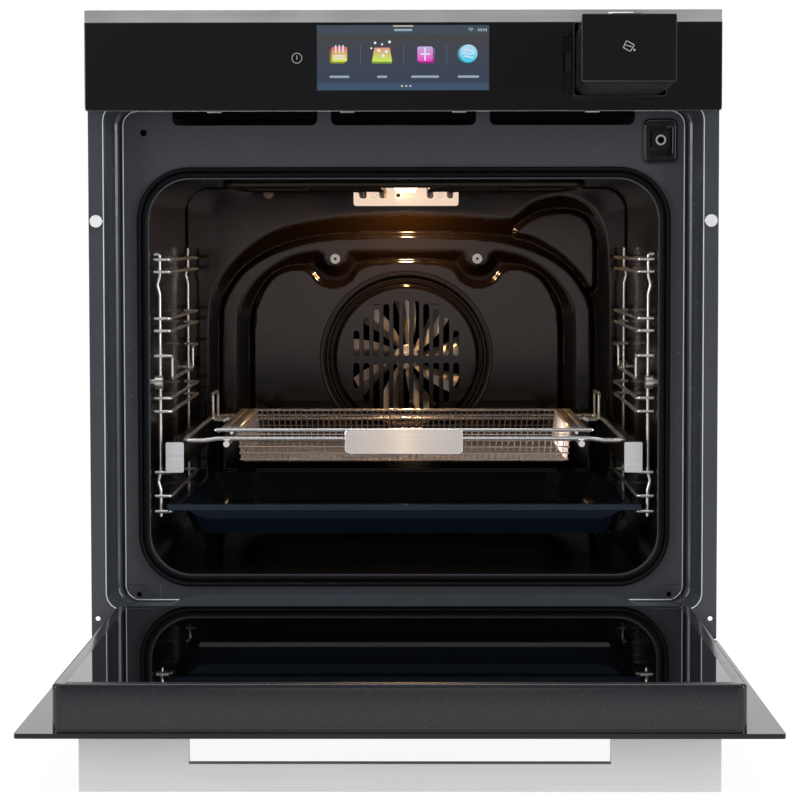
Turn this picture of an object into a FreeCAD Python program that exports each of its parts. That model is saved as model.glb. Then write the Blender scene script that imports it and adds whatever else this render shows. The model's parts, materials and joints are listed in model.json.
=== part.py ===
import FreeCAD
import Part
import math
import os

# Built-in oven with its door open, in millimetres. X runs to the right, the front
# faces -Y and Z is up. The origin is the centre of the base plate's underside.

# ---- Driving dimensions -------------------------------------------------------
WIDTH = 595.0            # fascia and door glass
HEIGHT = 595.0           # base plate to top of fascia
DEPTH = 547.0            # flange front to rear panel
SHEET = 1.5              # pressed steel
CASE_HALF = 279.5        # half width of the casing behind the flange
CASE_TOP = 588.0         # underside of the top cover
CASE_START = 36.0        # casing begins this far behind the flange front
FASCIA_OUT = 18.0        # fascia and closed door stand proud of the flange
FASCIA_BOTTOM = 501.0
TRIM_BOTTOM = 583.0
GLASS = 4.0
FRONT = -DEPTH / 2

FLANGE_HALF = 297.0
FLANGE_TOP = 511.5
PLUG_X = 290.0           # upper fixing holes, filled with plugs
PLUG_Z = 398.5
FIXING_X = 291.0         # lower fixing holes
FIXING_Z = 21.2
FIXING_RADIUS = 2.25
LIP_HALF = 188.0         # sloping lip under the mouth, and how its ends run out
LIP_RUN_OUT = 48.0
LIP_HIGH = 42.5
LIP_LOW = 31.6
RECESS_HALF = 283.0      # recess in the frame, at the flange
RECESS_BOTTOM = 29.5
RECESS_TOP = 509.0
RECESS_CORNER = 16.0
PANEL_BACK = 30.0        # how far the panel lies behind the flange front

CAVITY_HALF = 243.0
CAVITY_FLOOR = 60.0
CAVITY_CEILING = 438.5
CAVITY_CORNER = 26.0
MOUTH_CORNER = 40.0
CAVITY_BACK = 440.0      # front face of the fan panel
LINER_BACK = 472.5

FAN_Z = 251.0
FAN_SLOT_Z = 248.5
FAN_RADIUS = 73.0
FAN_BLADES = 14
HEATER_RADIUS = 92.0
HEATER_FOOT = math.sqrt(HEATER_RADIUS ** 2 - 14 ** 2)

HINGE_Y = -5.0           # door hinge axis, measured from the flange front
HINGE_Z = 10.0
DOOR_TOP = 496.5
DOOR_BOTTOM = 5.0
TUB_HALF = 268.5
TUB_TOP = 492.5
TUB_BOTTOM = 45.5
TUB_BACK = 23.8          # cavity side of the closed door
TUB_FRONT = -14.0
PANE_HALF = 258.0
PANE_TOP = 481.5

LAMP_DEPTH = 388.0
GRILL_Z = 435.2          # close under the ceiling, lower where the bracket holds it
GRILL_END_Z = 430.0
BRACKET_HALF = 57.5
BRACKET_DEPTH = 418.0

HANDLE_HALF = 251.0
HANDLE_POST = 86.0
HANDLE_OUT = 47.3
HANDLE_BAR = 22.0
HANDLE_LOW = 455.0
HANDLE_HIGH = 467.0

TANK_X0 = 159.5          # opening of the tank bay
TANK_X1 = 245.5
TANK_Z0 = 514.7
TANK_OUT = 110.0         # how far the tank stands pulled out
TANK_LENGTH = 250.0

RACK_X = 236.0           # upright wires of the side racks
RACK_FRONT = 58.0
RACK_REAR = 372.0
RUNG_X = 225.5
RUNG_RADIUS = 1.6
POST_RADIUS = 1.8
RUNG_HEIGHTS = (362.0, 350.0, 305.0, 293.0, 228.0, 215.0, 156.0, 133.0, 118.0)
DIPPED_RUNG = 269.0
DIP_DEPTH = 23.0

RUNNER_START = 52.0
RUNNER_END = 415.0
SHELF_Z = 187.0
SHELF_SIDE = 213.0
SHELF_FRONT = 56.0
SHELF_REAR = 430.0
BASKET_Z = 196.4

DUCT_TOP = 503.0
VENTS = ((-220.0, -82.0), (-69.0, 69.0), (82.0, 220.0))
UP = FreeCAD.Vector(0, 0, 1)
ALONG_X = FreeCAD.Vector(1, 0, 0)
ALONG_Y = FreeCAD.Vector(0, 1, 0)


# ---- Helpers ------------------------------------------------------------------
def back(depth):
    """The y of a place so far behind the flange's front face."""
    return FRONT + depth


def vec(x, y, z):
    return FreeCAD.Vector(x, y, z)


def box(x0, x1, y0, y1, z0, z1):
    """A block whose y is given as depth behind the flange front."""
    return Part.makeBox(x1 - x0, y1 - y0, z1 - z0, vec(x0, back(y0), z0))


def disc(x, y, z, radius, length, axis=ALONG_Y):
    """A cylinder that starts at a point and runs along an axis."""
    return Part.makeCylinder(radius, length, vec(x, back(y), z), axis)


def rounded_wire(x0, x1, z0, z1, y, radius):
    """A rounded rectangle in an upright plane that faces the front."""
    yy = back(y)
    k = radius * (1 - math.sqrt(0.5))
    edges = []
    corners = (
        ((x0 + radius, z0), (x1 - radius, z0), (x1 - k, z0 + k), (x1, z0 + radius)),
        ((x1, z0 + radius), (x1, z1 - radius), (x1 - k, z1 - k), (x1 - radius, z1)),
        ((x1 - radius, z1), (x0 + radius, z1), (x0 + k, z1 - k), (x0, z1 - radius)),
        ((x0, z1 - radius), (x0, z0 + radius), (x0 + k, z0 + k), (x0 + radius, z0)),
    )
    for start, end, middle, after in corners:
        a, b, m, c = (vec(p[0], yy, p[1]) for p in (start, end, middle, after))
        edges.append(Part.LineSegment(a, b).toShape())
        edges.append(Part.Arc(b, m, c).toShape())
    return Part.Wire(edges)


def rounded_block(x0, x1, y0, y1, z0, z1, radius):
    face = Part.Face(rounded_wire(x0, x1, z0, z1, y0, radius))
    return face.extrude(vec(0, y1 - y0, 0))


def join(shapes):
    first = shapes[0]
    return first.multiFuse(shapes[1:]).removeSplitter() if len(shapes) > 1 else first


def less(shape, cuts):
    for cut in cuts:
        shape = shape.cut(cut)
    return shape


def group(shapes):
    return Part.Compound(shapes)


def both_sides(make):
    """The left and the right copy of something that takes a side, -1 or 1."""
    return [make(-1), make(1)]


def span(side, inner, outer):
    """The x range between two distances from the middle, on one side."""
    return (side * inner, side * outer) if side > 0 else (side * outer, side * inner)


def rod(points, radius, bend):
    """A round wire through points (x, depth, z), bent with one radius."""
    nodes = [vec(p[0], back(p[1]), p[2]) for p in points]
    edges = []
    start = nodes[0]
    for i in range(1, len(nodes) - 1):
        into = (nodes[i] - nodes[i - 1]).normalize()
        out = (nodes[i + 1] - nodes[i]).normalize()
        half = into.getAngle(out) / 2
        trim = bend * math.tan(half)
        a = nodes[i] - into * trim
        b = nodes[i] + out * trim
        inward = (out - into).normalize()
        m = nodes[i] + inward * (bend / math.cos(half) - bend)
        edges.append(Part.LineSegment(start, a).toShape())
        edges.append(Part.Arc(a, m, b).toShape())
        start = b
    edges.append(Part.LineSegment(start, nodes[-1]).toShape())
    path = Part.Wire(edges)
    heading = (nodes[1] - nodes[0]).normalize()
    ring = Part.Wire(Part.Circle(nodes[0], heading, radius).toShape())
    return path.makePipeShell([ring], True, False)


def on_open_door(shape):
    """Turns a piece drawn with the door shut into the open position."""
    shape = shape.copy()
    shape.rotate(vec(0, back(HINGE_Y), HINGE_Z), ALONG_X, 90)
    return shape


# ---- Casing -------------------------------------------------------------------
def base_plate():
    plate = box(-CASE_HALF, CASE_HALF, 0.5, DEPTH, 0, SHEET)
    slots = []
    for row in range(2):
        for i in range(9):
            x = -200 + 50 * i
            slots.append(box(x - 15, x + 15, 120 + 280 * row, 124 + 280 * row, -1, 2))
    return less(plate, slots)


def side_panel(side):
    x0, x1 = span(side, CASE_HALF - SHEET, CASE_HALF)
    wall = box(x0, x1, CASE_START, DEPTH - SHEET, SHEET, CASE_TOP)
    slots = []
    for i in range(8):
        y = 380 + 16 * i
        slots.append(box(x0 - 1, x1 + 1, y, y + 5, 520, 565))
    return less(wall, slots)


def top_cover():
    plate = box(-CASE_HALF, CASE_HALF, -10, DEPTH, CASE_TOP, CASE_TOP + SHEET)
    lid = box(-200, 130, 260, 500, CASE_TOP + SHEET, CASE_TOP + 4)
    slots = []
    for i in range(12):
        x = -180 + 26 * i
        slots.append(box(x, x + 5, 420, 480, CASE_TOP - 1, CASE_TOP + 5))
    return less(plate.fuse(lid), slots)


def rear_panel():
    half = CASE_HALF - SHEET
    panel = box(-CASE_HALF, CASE_HALF, DEPTH - SHEET, DEPTH, SHEET, CASE_TOP)
    slots = []
    for i in range(14):
        x = -half + 30 + 16 * i
        slots.append(box(x, x + 6, DEPTH - 3, DEPTH + 1, 500, 560))
        slots.append(box(x, x + 6, DEPTH - 3, DEPTH + 1, 30, 60))
    slots.append(disc(205, DEPTH - 3, 535, 9, 5))
    return less(panel, slots)


# ---- Front frame --------------------------------------------------------------
# The pressed wall between flange and panel: how far in, how deep, and how far up
# the lower side and down the upper side, at each step.
RECESS_STEPS = (
    (0.0, 0.0, 0.0),
    (1.3, 0.4, 0.3),
    (2.0, 1.8, 0.5),
    (6.5, 22.0, 2.6),
    (8.4, 27.0, 3.2),
    (10.6, 28.4, 3.6),
    (12.0, 31.6, 4.4),
    (13.2, 32.6, 4.8),
    (14.6, 31.8, 5.2),
    (16.6, 30.0, 5.8),
)


def recess(extra):
    """The frame's hollow, or its outside when extra is the sheet's thickness."""
    rings = []
    for inward, depth, rise in RECESS_STEPS:
        half = RECESS_HALF - inward + extra
        place = depth + (extra if depth > 0 else 0)
        rings.append(rounded_wire(-half, half, RECESS_BOTTOM + rise - extra,
                                  RECESS_TOP - rise + extra, place, RECESS_CORNER + extra))
    return Part.makeLoft(rings, True, True)


def vent_slot(x0, x1):
    return rounded_block(x0, x1, PANEL_BACK - 1, PANEL_BACK + 3, 489.5, 501.5, 5.9)


def lip_section(x, top):
    corners = [vec(x, back(2), 29), vec(x, back(PANEL_BACK + 0.5), top),
               vec(x, back(PANEL_BACK + 0.5), 31)]
    return Part.makePolygon(corners + corners[:1])


def sloping_lip():
    """Level in the middle, with ends that run out along an S-shaped curve."""
    steps = 6
    sections = []
    for i in range(steps + 1):
        t = i / steps
        top = LIP_LOW + (LIP_HIGH - LIP_LOW) * t * t * (3 - 2 * t)
        sections.append((LIP_HALF + LIP_RUN_OUT * (1 - t), top))
    left = [lip_section(-x, top) for x, top in sections]
    right = [lip_section(x, top) for x, top in reversed(sections)]
    return Part.makeLoft(left + right, True, True)


def front_frame():
    flange = rounded_block(-FLANGE_HALF, FLANGE_HALF, 0, SHEET, SHEET, FLANGE_TOP, 2)
    pan = recess(SHEET).cut(recess(0))
    frame = flange.cut(recess(0)).fuse(pan)
    frame = frame.fuse(sloping_lip())
    cuts = [rounded_block(-CAVITY_HALF, CAVITY_HALF, PANEL_BACK - 1, PANEL_BACK + 3,
                          CAVITY_FLOOR, CAVITY_CEILING, MOUTH_CORNER)]
    cuts += [vent_slot(x0, x1) for x0, x1 in VENTS]
    cuts.append(rounded_block(230, 259.5, PANEL_BACK - 1, PANEL_BACK + 3, 454.5, 493.5, 5))
    cuts.append(disc(-247.6, PANEL_BACK - 1, 482.6, 3.2, 5))
    for side in (-1, 1):
        cuts.append(disc(side * 254.5, PANEL_BACK - 1, 40.5, 2.4, 5))
        cuts.append(disc(side * PLUG_X, -1, PLUG_Z, 5.0, 5))
        cuts.append(disc(side * FIXING_X, -1, FIXING_Z, FIXING_RADIUS, 5))
        x0, x1 = span(side, 243, 257.5)
        cuts.append(box(x0, x1, -1, 3, 0, 17))
    return less(frame, cuts)


def frame_plugs():
    def plug(side):
        cap = disc(side * PLUG_X, -1.6, PLUG_Z, 5.85, 1.6)
        x0, x1 = span(side, 283.6, 289)
        nub = box(x0, x1, -1.2, 0, PLUG_Z - 0.9, PLUG_Z + 0.9)
        return join([cap, nub, disc(side * PLUG_X, 0, PLUG_Z, 4.9, 7)])
    return group(both_sides(plug))


def door_gasket():
    outer = rounded_block(-254.4, 254.4, 25, PANEL_BACK, 49.3, 449.3, 48)
    inner = rounded_block(-245.4, 245.4, 24, PANEL_BACK + 1, 58.3, 440.3, 40)
    return outer.cut(inner)


def drain_socket():
    rim = rounded_block(228.6, 260.3, PANEL_BACK - 1.5, PANEL_BACK, 453, 495, 6)
    sleeve = rounded_block(230.2, 259.3, PANEL_BACK - 1.5, 58, 454.7, 493.3, 4.8)
    hollow = rounded_block(234.5, 256.3, PANEL_BACK - 2, 55, 460, 490, 3)
    block = rounded_block(236.5, 253.6, 33, 58, 467, 483.7, 2)
    socket = rim.fuse(sleeve).cut(hollow).fuse(block)
    return socket.cut(disc(245, 32, 475.3, 5.0, 8))


def drain_nozzle():
    return disc(245, 31.5, 475.3, 5.0, 8.5).cut(disc(245, 31, 475.3, 3.4, 7))


# ---- Cavity -------------------------------------------------------------------
def cavity_liner():
    half = CAVITY_HALF + SHEET
    start = PANEL_BACK + SHEET
    low = CAVITY_FLOOR - SHEET
    high = CAVITY_CEILING + SHEET
    outer = rounded_block(-half, half, start, LINER_BACK + SHEET, low, high, CAVITY_CORNER + SHEET)
    collar = rounded_block(-half - 9, half + 9, start, start + SHEET, low - 9, high + 9, 48)
    hollow = rounded_block(-CAVITY_HALF, CAVITY_HALF, start - 1, LINER_BACK,
                           CAVITY_FLOOR, CAVITY_CEILING, CAVITY_CORNER)
    cuts = [hollow, disc(0, LINER_BACK - 2, FAN_Z, 6, 6), disc(0, LAMP_DEPTH, CAVITY_CEILING - 2, 15.6, 6, UP)]
    cuts.append(disc(190, 420, CAVITY_CEILING - 2, 3.2, 6, UP))
    for x in (-14, 14):
        cuts.append(disc(x, LINER_BACK - 2, FAN_Z - HEATER_FOOT, 3.8, 6))
    for side in (-1, 1):
        for x in (26, 48):
            cuts.append(disc(side * x, LINER_BACK - 2, 430, 3.3, 6))
    return less(outer.fuse(collar), cuts)


def insulation_blanket():
    half = CAVITY_HALF + SHEET + 0.5
    outer = box(-270, 270, 36, 500, 20, 470)
    inner = rounded_block(-half, half, 33, LINER_BACK + SHEET + 0.2, 48,
                          CAVITY_CEILING + SHEET + 0.5, CAVITY_CORNER + SHEET)
    cuts = [inner, disc(0, 470, FAN_Z, 47, 40), disc(0, LAMP_DEPTH, 430, 18.5, 50, UP)]
    cuts.append(disc(190, 420, 430, 3.6, 50, UP))
    cuts.append(box(226, 262, 30, 60, 450, 480))
    for x in (-14, 14):
        cuts.append(disc(x, 470, FAN_Z - HEATER_FOOT, 4.2, 40))
    for side in (-1, 1):
        for x in (26, 48):
            cuts.append(disc(side * x, 470, 430, 4, 40))
    return less(outer, cuts)


def rear_fan_panel():
    panel = rounded_block(-CAVITY_HALF, CAVITY_HALF, CAVITY_BACK, CAVITY_BACK + SHEET,
                          CAVITY_FLOOR, CAVITY_CEILING, CAVITY_CORNER)
    cuts = []
    for k in range(-5, 6):
        x = 11.05 * k
        reach = math.sqrt(65.8 ** 2 - (1.04 * x) ** 2)
        low, high = FAN_SLOT_Z + 3.6, FAN_SLOT_Z + reach
        for z0, z1 in ((low, high), (2 * FAN_SLOT_Z - high, 2 * FAN_SLOT_Z - low)):
            cuts.append(rounded_block(x - 2.95, x + 2.95, CAVITY_BACK - 1, CAVITY_BACK + 3,
                                      z0, z1, 2.9))
    for side in (-1, 1):
        cuts.append(disc(side * 78.5, CAVITY_BACK - 1, 360, 2.2, 4))
        for x in (26, 48):
            cuts.append(disc(side * x, CAVITY_BACK - 1, 430, 3.6, 4))
    cuts.append(disc(-152, CAVITY_BACK - 1, 431.8, 3.2, 4))
    for i in range(5):
        cuts.append(box(-60 + 25 * i, -48 + 25 * i, CAVITY_BACK - 1, CAVITY_BACK + 3, 84, 90))
    return less(panel, cuts)


def fan_panel_screws():
    def screw(side):
        head = disc(side * 78.5, CAVITY_BACK - 2.4, 360, 5.4, 2.4)
        drive = disc(side * 78.5, CAVITY_BACK - 3, 360, 1.3, 1.8)
        shank = disc(side * 78.5, CAVITY_BACK, 360, 2.1, 12)
        return head.fuse(shank).cut(drive)
    return group(both_sides(screw))


def ring_heater():
    ring = Part.makeTorus(HEATER_RADIUS, 3.2, vec(0, back(456), FAN_Z), ALONG_Y, 0, 360)
    gap = box(-14, 14, 440, 470, FAN_Z - 120, FAN_Z - 60)
    foot = FAN_Z - HEATER_FOOT
    tails = [disc(x, 452.4, foot, 3.6, 36) for x in (-14, 14)]
    return join([ring.cut(gap)] + tails)


def convection_fan():
    pieces = [disc(0, 462, FAN_Z, FAN_RADIUS, 1.5), disc(0, 447, FAN_Z, 13, 16)]
    for i in range(FAN_BLADES):
        blade = box(34, FAN_RADIUS - 1, 448, 462.5, FAN_Z - 0.7, FAN_Z + 0.7)
        blade.rotate(vec(34, back(455), FAN_Z), ALONG_Y, 28)
        blade.rotate(vec(0, back(455), FAN_Z), ALONG_Y, 360 * i / FAN_BLADES)
        pieces.append(blade.common(disc(0, 446, FAN_Z, FAN_RADIUS, 18)))
    pieces.append(disc(0, 463, FAN_Z, 4, 23))
    pieces.append(Part.makeCylinder(6.5, 5, vec(0, back(442.6), FAN_Z), ALONG_Y))
    return join(pieces)


def fan_motor():
    plate = disc(0, LINER_BACK + SHEET + 0.1, FAN_Z, 46, 2)
    body = disc(0, 476, FAN_Z, 38, 24)
    coil = box(-36, 36, 500, 528, FAN_Z - 34, FAN_Z + 34)
    return less(join([plate, body, coil]), [disc(0, 470, FAN_Z, 4.06, 22)])


def grill_loop(end_x, bend_depth, side_x, rear, front):
    half = [(end_x, 484, GRILL_END_Z), (end_x, 404, GRILL_END_Z), (end_x, bend_depth, GRILL_Z),
            (side_x, rear, GRILL_Z), (side_x, front, GRILL_Z)]
    other = [(-x, depth, z) for x, depth, z in reversed(half)]
    return rod(half + other, 3.1, 12)


def grill_element():
    return group([grill_loop(-48, 376, -175, 340, 95), grill_loop(-26, 362, -105, 325, 135)])


def grill_bracket():
    plate = rounded_block(-BRACKET_HALF, BRACKET_HALF, BRACKET_DEPTH, BRACKET_DEPTH + SHEET,
                          418, CAVITY_CEILING, 3)
    foot = box(-BRACKET_HALF, BRACKET_HALF, BRACKET_DEPTH, BRACKET_DEPTH + 18,
               CAVITY_CEILING - SHEET, CAVITY_CEILING)
    cuts = []
    for side in (-1, 1):
        for x in (26, 48):
            cuts.append(disc(side * x, 416, 429.5, 3.3, 6))
            cuts.append(box(side * x - 3.3, side * x + 3.3, 416, 437.5, 429.5, 445))
    cuts.append(disc(-8.2, 416, 429.5, 2.2, 6))
    return less(plate.fuse(foot), cuts)


def bottom_heater():
    z = 55.2
    turns = [(-150, 440, z), (-150, 90, z), (-90, 90, z), (-90, 380, z), (-30, 380, z),
             (-30, 90, z), (30, 90, z), (30, 380, z), (90, 380, z), (90, 90, z),
             (150, 90, z), (150, 440, z)]
    return rod(turns, 3.2, 20)


def lamp_housing():
    cup = disc(0, LAMP_DEPTH, CAVITY_CEILING + SHEET, 18, 27, UP)
    hollow = disc(0, LAMP_DEPTH, CAVITY_CEILING, 13, 24, UP)
    return cup.cut(hollow)


def lamp_glass():
    dome = Part.makeCone(9.5, 15.4, 7.5, vec(0, back(LAMP_DEPTH), CAVITY_CEILING - 6), UP)
    hollow = Part.makeCone(7.5, 13.2, 6.0, vec(0, back(LAMP_DEPTH), CAVITY_CEILING - 4), UP)
    return dome.cut(hollow)


def lamp_bulb():
    base = disc(0, LAMP_DEPTH, 455, 8, 7.5, UP)
    bulb = disc(0, LAMP_DEPTH, 442, 5, 13, UP)
    tip = Part.makeSphere(5, vec(0, back(LAMP_DEPTH), 442))
    return join([base, bulb, tip])


def temperature_probe():
    stem = disc(-152, 412, 431.8, 3, 38)
    nut = disc(-152, CAVITY_BACK - 4, 431.8, 5.4, 4)
    return stem.fuse(nut)


# ---- Side racks and runners ---------------------------------------------------
def side_rack(side):
    post_x = side * RACK_X
    kink_x = side * (RACK_X + 2.4)
    front = rod([(side * 241.2, RACK_FRONT, 367), (post_x, RACK_FRONT, 367),
                 (post_x, RACK_FRONT, 346), (kink_x, RACK_FRONT, 337),
                 (post_x, RACK_FRONT, 328), (post_x, RACK_FRONT, 158),
                 (kink_x, RACK_FRONT, 147), (post_x, RACK_FRONT, 138),
                 (post_x, RACK_FRONT, 113)], POST_RADIUS, 2.6)
    rear = rod([(post_x, RACK_REAR, 372), (post_x, RACK_REAR, 352), (kink_x, RACK_REAR, 343),
                (post_x, RACK_REAR, 334), (post_x, RACK_REAR, 113)], POST_RADIUS, 2.6)
    near = RACK_FRONT - POST_RADIUS - RUNG_RADIUS + 0.15
    far = RACK_REAR - POST_RADIUS - RUNG_RADIUS + 0.15
    wires = [front, rear]
    for z in RUNG_HEIGHTS:
        wires.append(rod([(side * 241.2, near, z), (side * RUNG_X, near, z),
                          (side * RUNG_X, far, z), (side * 240, far, z)], RUNG_RADIUS, 4))
    low = DIPPED_RUNG - DIP_DEPTH
    wires.append(rod([(side * 241.2, near, DIPPED_RUNG), (side * RUNG_X, near, DIPPED_RUNG),
                      (side * RUNG_X, 71, DIPPED_RUNG), (side * RUNG_X, 71, low),
                      (side * RUNG_X, 306, low), (side * RUNG_X, 306, DIPPED_RUNG),
                      (side * RUNG_X, far, DIPPED_RUNG), (side * 240, far, DIPPED_RUNG)],
                     RUNG_RADIUS, 3.6))
    return join(wires)


def rack_nuts():
    def pair(side):
        nuts = []
        for depth in (RACK_FRONT - 8.3, RACK_REAR + 8.3):
            x0, x1 = span(side, 232.5, 240)
            knob = disc(x0, depth, 243.5, 6.5, x1 - x0, ALONG_X)
            w0, w1 = span(side, 240, CAVITY_HALF)
            nuts.append(knob.fuse(disc(w0, depth, 243.5, 4, w1 - w0, ALONG_X)))
        return nuts
    return group(pair(-1) + pair(1))


def runner_rail(side):
    x0, x1 = span(side, 221.5, 229)
    w0, w1 = span(side, 221, 227.5)
    rail = box(x0, x1, RUNNER_START, RUNNER_END, 160, 182)
    rail = rail.cut(box(w0, w1, RUNNER_START - 1, RUNNER_END + 1, 161.5, 180.5))
    feet = [box(x0, x1, y, y + 14, 157.6, 160) for y in (80, 330)]
    return join([rail] + feet)


def runner_rails():
    return group(both_sides(runner_rail))


def runner_middle(side):
    x0, x1 = span(side, 216.5, 226.5)
    return box(x0, x1, RUNNER_START + 1, RUNNER_END - 5, 166, 176)


def runner_slide(side):
    x0, x1 = span(side, 212.5, 219.5)
    w0, w1 = span(side, 215, 220)
    channel = box(x0, x1, 48, RUNNER_END, 162.5, 184.8)
    channel = channel.cut(box(w0, w1, 47.9, RUNNER_END + 1, 164, 178))
    p0, p1 = span(side, 212.5, 230)
    plate = rounded_block(p0, p1, 46.5, 48, 156.5, 186, 1.5)
    ring = disc(side * 219.2, 46.5, 189, 3.1, 4)
    stem = disc(side * 218.4, 405, 184, 2.4, 19, UP)
    piece = join([channel, plate, ring, stem])
    return piece.cut(disc(side * 219.2, 46, 189, 1.5, 5))


def wire_shelf():
    side = SHELF_SIDE
    z = SHELF_Z
    high = z + 1.8
    frame = [rod([(-side, SHELF_REAR, z), (-side, SHELF_FRONT, z), (-193, SHELF_FRONT, z),
                  (-181, SHELF_FRONT, high), (181, SHELF_FRONT, high), (193, SHELF_FRONT, z),
                  (side, SHELF_FRONT, z), (side, SHELF_REAR, z)], 2.2, 5)]
    frame.append(rod([(-side - 2, SHELF_REAR, z), (side + 2, SHELF_REAR, z)], 2.2, 5))
    frame.append(rod([(-side, 377, z), (side, 377, z)], 2.2, 5))
    for x in (-171.7, 171.7):
        frame.append(rod([(x, 51, high - 5.0), (x, SHELF_REAR, high - 5.0)], 3.0, 5))
    for s in (-1, 1):
        frame.append(rod([(s * 196, 352, z), (s * 208, 352, z), (s * 208, 352, 216),
                          (s * 206, 396, 216), (s * 206, 396, z), (s * 194, 396, z)], 1.9, 4))
        frame.append(rod([(s * 196, 352, z), (s * 196, 396, z)], 1.9, 4))
        frame.append(rod([(s * 194, 374, z), (s * 194, SHELF_REAR, z)], 1.9, 4))
    return join(frame)


def airfry_basket():
    top = BASKET_Z
    shell = box(-161.5, 161.5, 60, 368, 165, top)
    hollow = box(-160.3, 160.3, 61.2, 366.8, 166.2, top + 1)
    basket = shell.cut(hollow)
    opening = box(-160.3, 160.3, 61.2, 366.8, top - 1, top + 3)
    flange = box(-179, 179, 56, 372, top, top + 1.2).cut(opening)
    rail_z = BASKET_Z - 2.6
    rails = [rod([(s * 167, 51.5, rail_z), (s * 167, 380, rail_z)], 2.4, 5) for s in (-1, 1)]
    rim = rod([(-182, 52.8, top + 1.2), (182, 52.8, top + 1.2)], 1.7, 5)
    bridges = [box(s * 167 - 2, s * 167 + 2, 52, 60, rail_z, top + 1.2) for s in (-1, 1)]
    posts = [box(s * 164.25 - 3.25, s * 164.25 + 3.25, y, y + 4, 193, top) for s in (-1, 1)
             for y in (90, 210, 330)]
    return join([basket, flange, rim] + rails + bridges + posts)


def basket_plate():
    return rounded_block(-57, 57, 49.6, 51.1, 174, 198.4, 5)


def baking_tray():
    top = 125.5
    rim = box(-229, 229, 48, 432, top - 5.5, top)
    rim_hollow = box(-227.5, 227.5, 49.5, 430.5, top - 6, top - SHEET)
    walls = Part.makeLoft([flat_wire(-217, 217, 60, 420, top, 14),
                           flat_wire(-204, 204, 73, 407, 95, 14)], True, True)
    inside = Part.makeLoft([flat_wire(-215.5, 215.5, 61.5, 418.5, top + 0.01, 13),
                            flat_wire(-202.5, 202.5, 74.5, 405.5, 96.5, 13)], True, True)
    return rim.cut(rim_hollow).fuse(walls).cut(inside)


def flat_wire(x0, x1, y0, y1, z, radius):
    """A rounded rectangle lying flat at one height, y as depth behind the flange."""
    upright = rounded_wire(x0, x1, y0, y1, 0, radius)
    upright.translate(vec(0, -FRONT, 0))
    upright.rotate(vec(0, 0, 0), ALONG_X, -90)
    upright.translate(vec(0, FRONT, z))
    return upright


# ---- Cooling, electrics -------------------------------------------------------
def blower_case():
    case = disc(-20, 330, DUCT_TOP, 68, 52.1, UP)
    outlet = box(-20, 48, 330, 400, DUCT_TOP, 559.5)
    hollow = disc(-20, 330, 509, 66, 49, UP).fuse(box(-18.5, 46.5, 330, 401, 509, 558))
    shell = less(case.fuse(outlet), [hollow, disc(-20, 330, 500, 40, 20, UP)])
    motor = disc(-20, 330, 546, 22, 13, UP)
    return join([shell, motor, disc(-20, 330, 532, 3, 14, UP)])


def blower_rotor():
    hub = disc(-20, 330, 540, 52, 2, UP)
    pieces = [hub, disc(-20, 330, 512, 8, 30, UP)]
    for i in range(24):
        vane = box(26, 30.5, 329.4, 330.6, 512, 541)
        vane.rotate(vec(-20, back(330), 0), UP, 15 * i)
        pieces.append(vane)
    ring = disc(-20, 330, 511, 52, 2, UP).cut(disc(-20, 330, 510, 45, 4, UP))
    return join(pieces + [ring]).cut(disc(-20, 330, 531, 3.05, 12, UP))


def air_duct():
    outer = box(-225, 225, PANEL_BACK + SHEET, 400, 474, DUCT_TOP)
    inner = box(-223.5, 223.5, PANEL_BACK, 398.5, 475.5, DUCT_TOP - SHEET)
    return less(outer, [inner, disc(-20, 330, 500, 40, 20, UP)])


def steam_boiler():
    tank = box(150, 236, 262, 380, DUCT_TOP, 572)
    cap = box(165, 221, 275, 367, 572, 580)
    pipe = rod([(190, 379, 540), (190, 420, 540), (190, 420, 436)], 3.1, 12)
    return join([tank, cap, pipe])


def water_pump():
    body = box(88, 138, 276, 330, DUCT_TOP, 545)
    return body.fuse(disc(113, 250, 526, 9, 30))


def control_board():
    pieces = [box(-222, -100, 60, 210, 511.5, 513.5)]
    for x in (-214, -108):
        for y in (70, 200):
            pieces.append(disc(x, y, DUCT_TOP, 3, 511.5 - DUCT_TOP, UP))
    pieces.append(box(-212, -176, 80, 120, 513.5, 540))
    pieces.append(box(-160, -125, 90, 180, 513.5, 530))
    pieces.append(disc(-195, 160, 513.5, 12, 30, UP))
    return join(pieces)


# ---- Fascia -------------------------------------------------------------------
def tank_mouth(y0, y1):
    hole = rounded_block(TANK_X0, TANK_X1, y0, y1, TANK_Z0, 590, 4)
    notch = rounded_block(149, 165, y0, y1, 517, 570, 1.5)
    return hole.fuse(notch)


def fascia_glass():
    half = WIDTH / 2
    sheet = rounded_block(-half, half, -FASCIA_OUT, -FASCIA_OUT + GLASS,
                          FASCIA_BOTTOM, TRIM_BOTTOM + 6, 4)
    sheet = sheet.cut(box(-half - 1, half + 1, -30, 0, TRIM_BOTTOM, 620))
    return sheet.cut(tank_mouth(-30, 0))


def fascia_trim():
    half = WIDTH / 2
    bar = box(-half, half, -FASCIA_OUT, 3.5, TRIM_BOTTOM, HEIGHT)
    hollow = box(-half + SHEET, half - SHEET, -FASCIA_OUT + SHEET, 4, TRIM_BOTTOM - 1, HEIGHT - SHEET)
    web = box(-half + SHEET, half - SHEET, -FASCIA_OUT + SHEET, 3.5, CASE_TOP + SHEET, CASE_TOP + 3)
    return bar.cut(hollow).fuse(web)


def fascia_carrier():
    plate = box(-294, 294, -14, -11.5, 503, 583)
    ribs = box(-294, 294, -11.5, 0, 503, 583)
    ribs = ribs.cut(box(-291, 291, -12, 1, 505.5, 581))
    cuts = [box(-86, 86, -15, -2, 515, 585), box(146, 249, -15, 1, 511.5, 590)]
    clips = []
    for x in (-177, -52.5, 52.5, 177):
        clips.append(box(x - 6.5, x + 6.5, -11, -3, 499.6, 503))
    return join([less(plate.fuse(ribs), cuts)] + clips)


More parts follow.
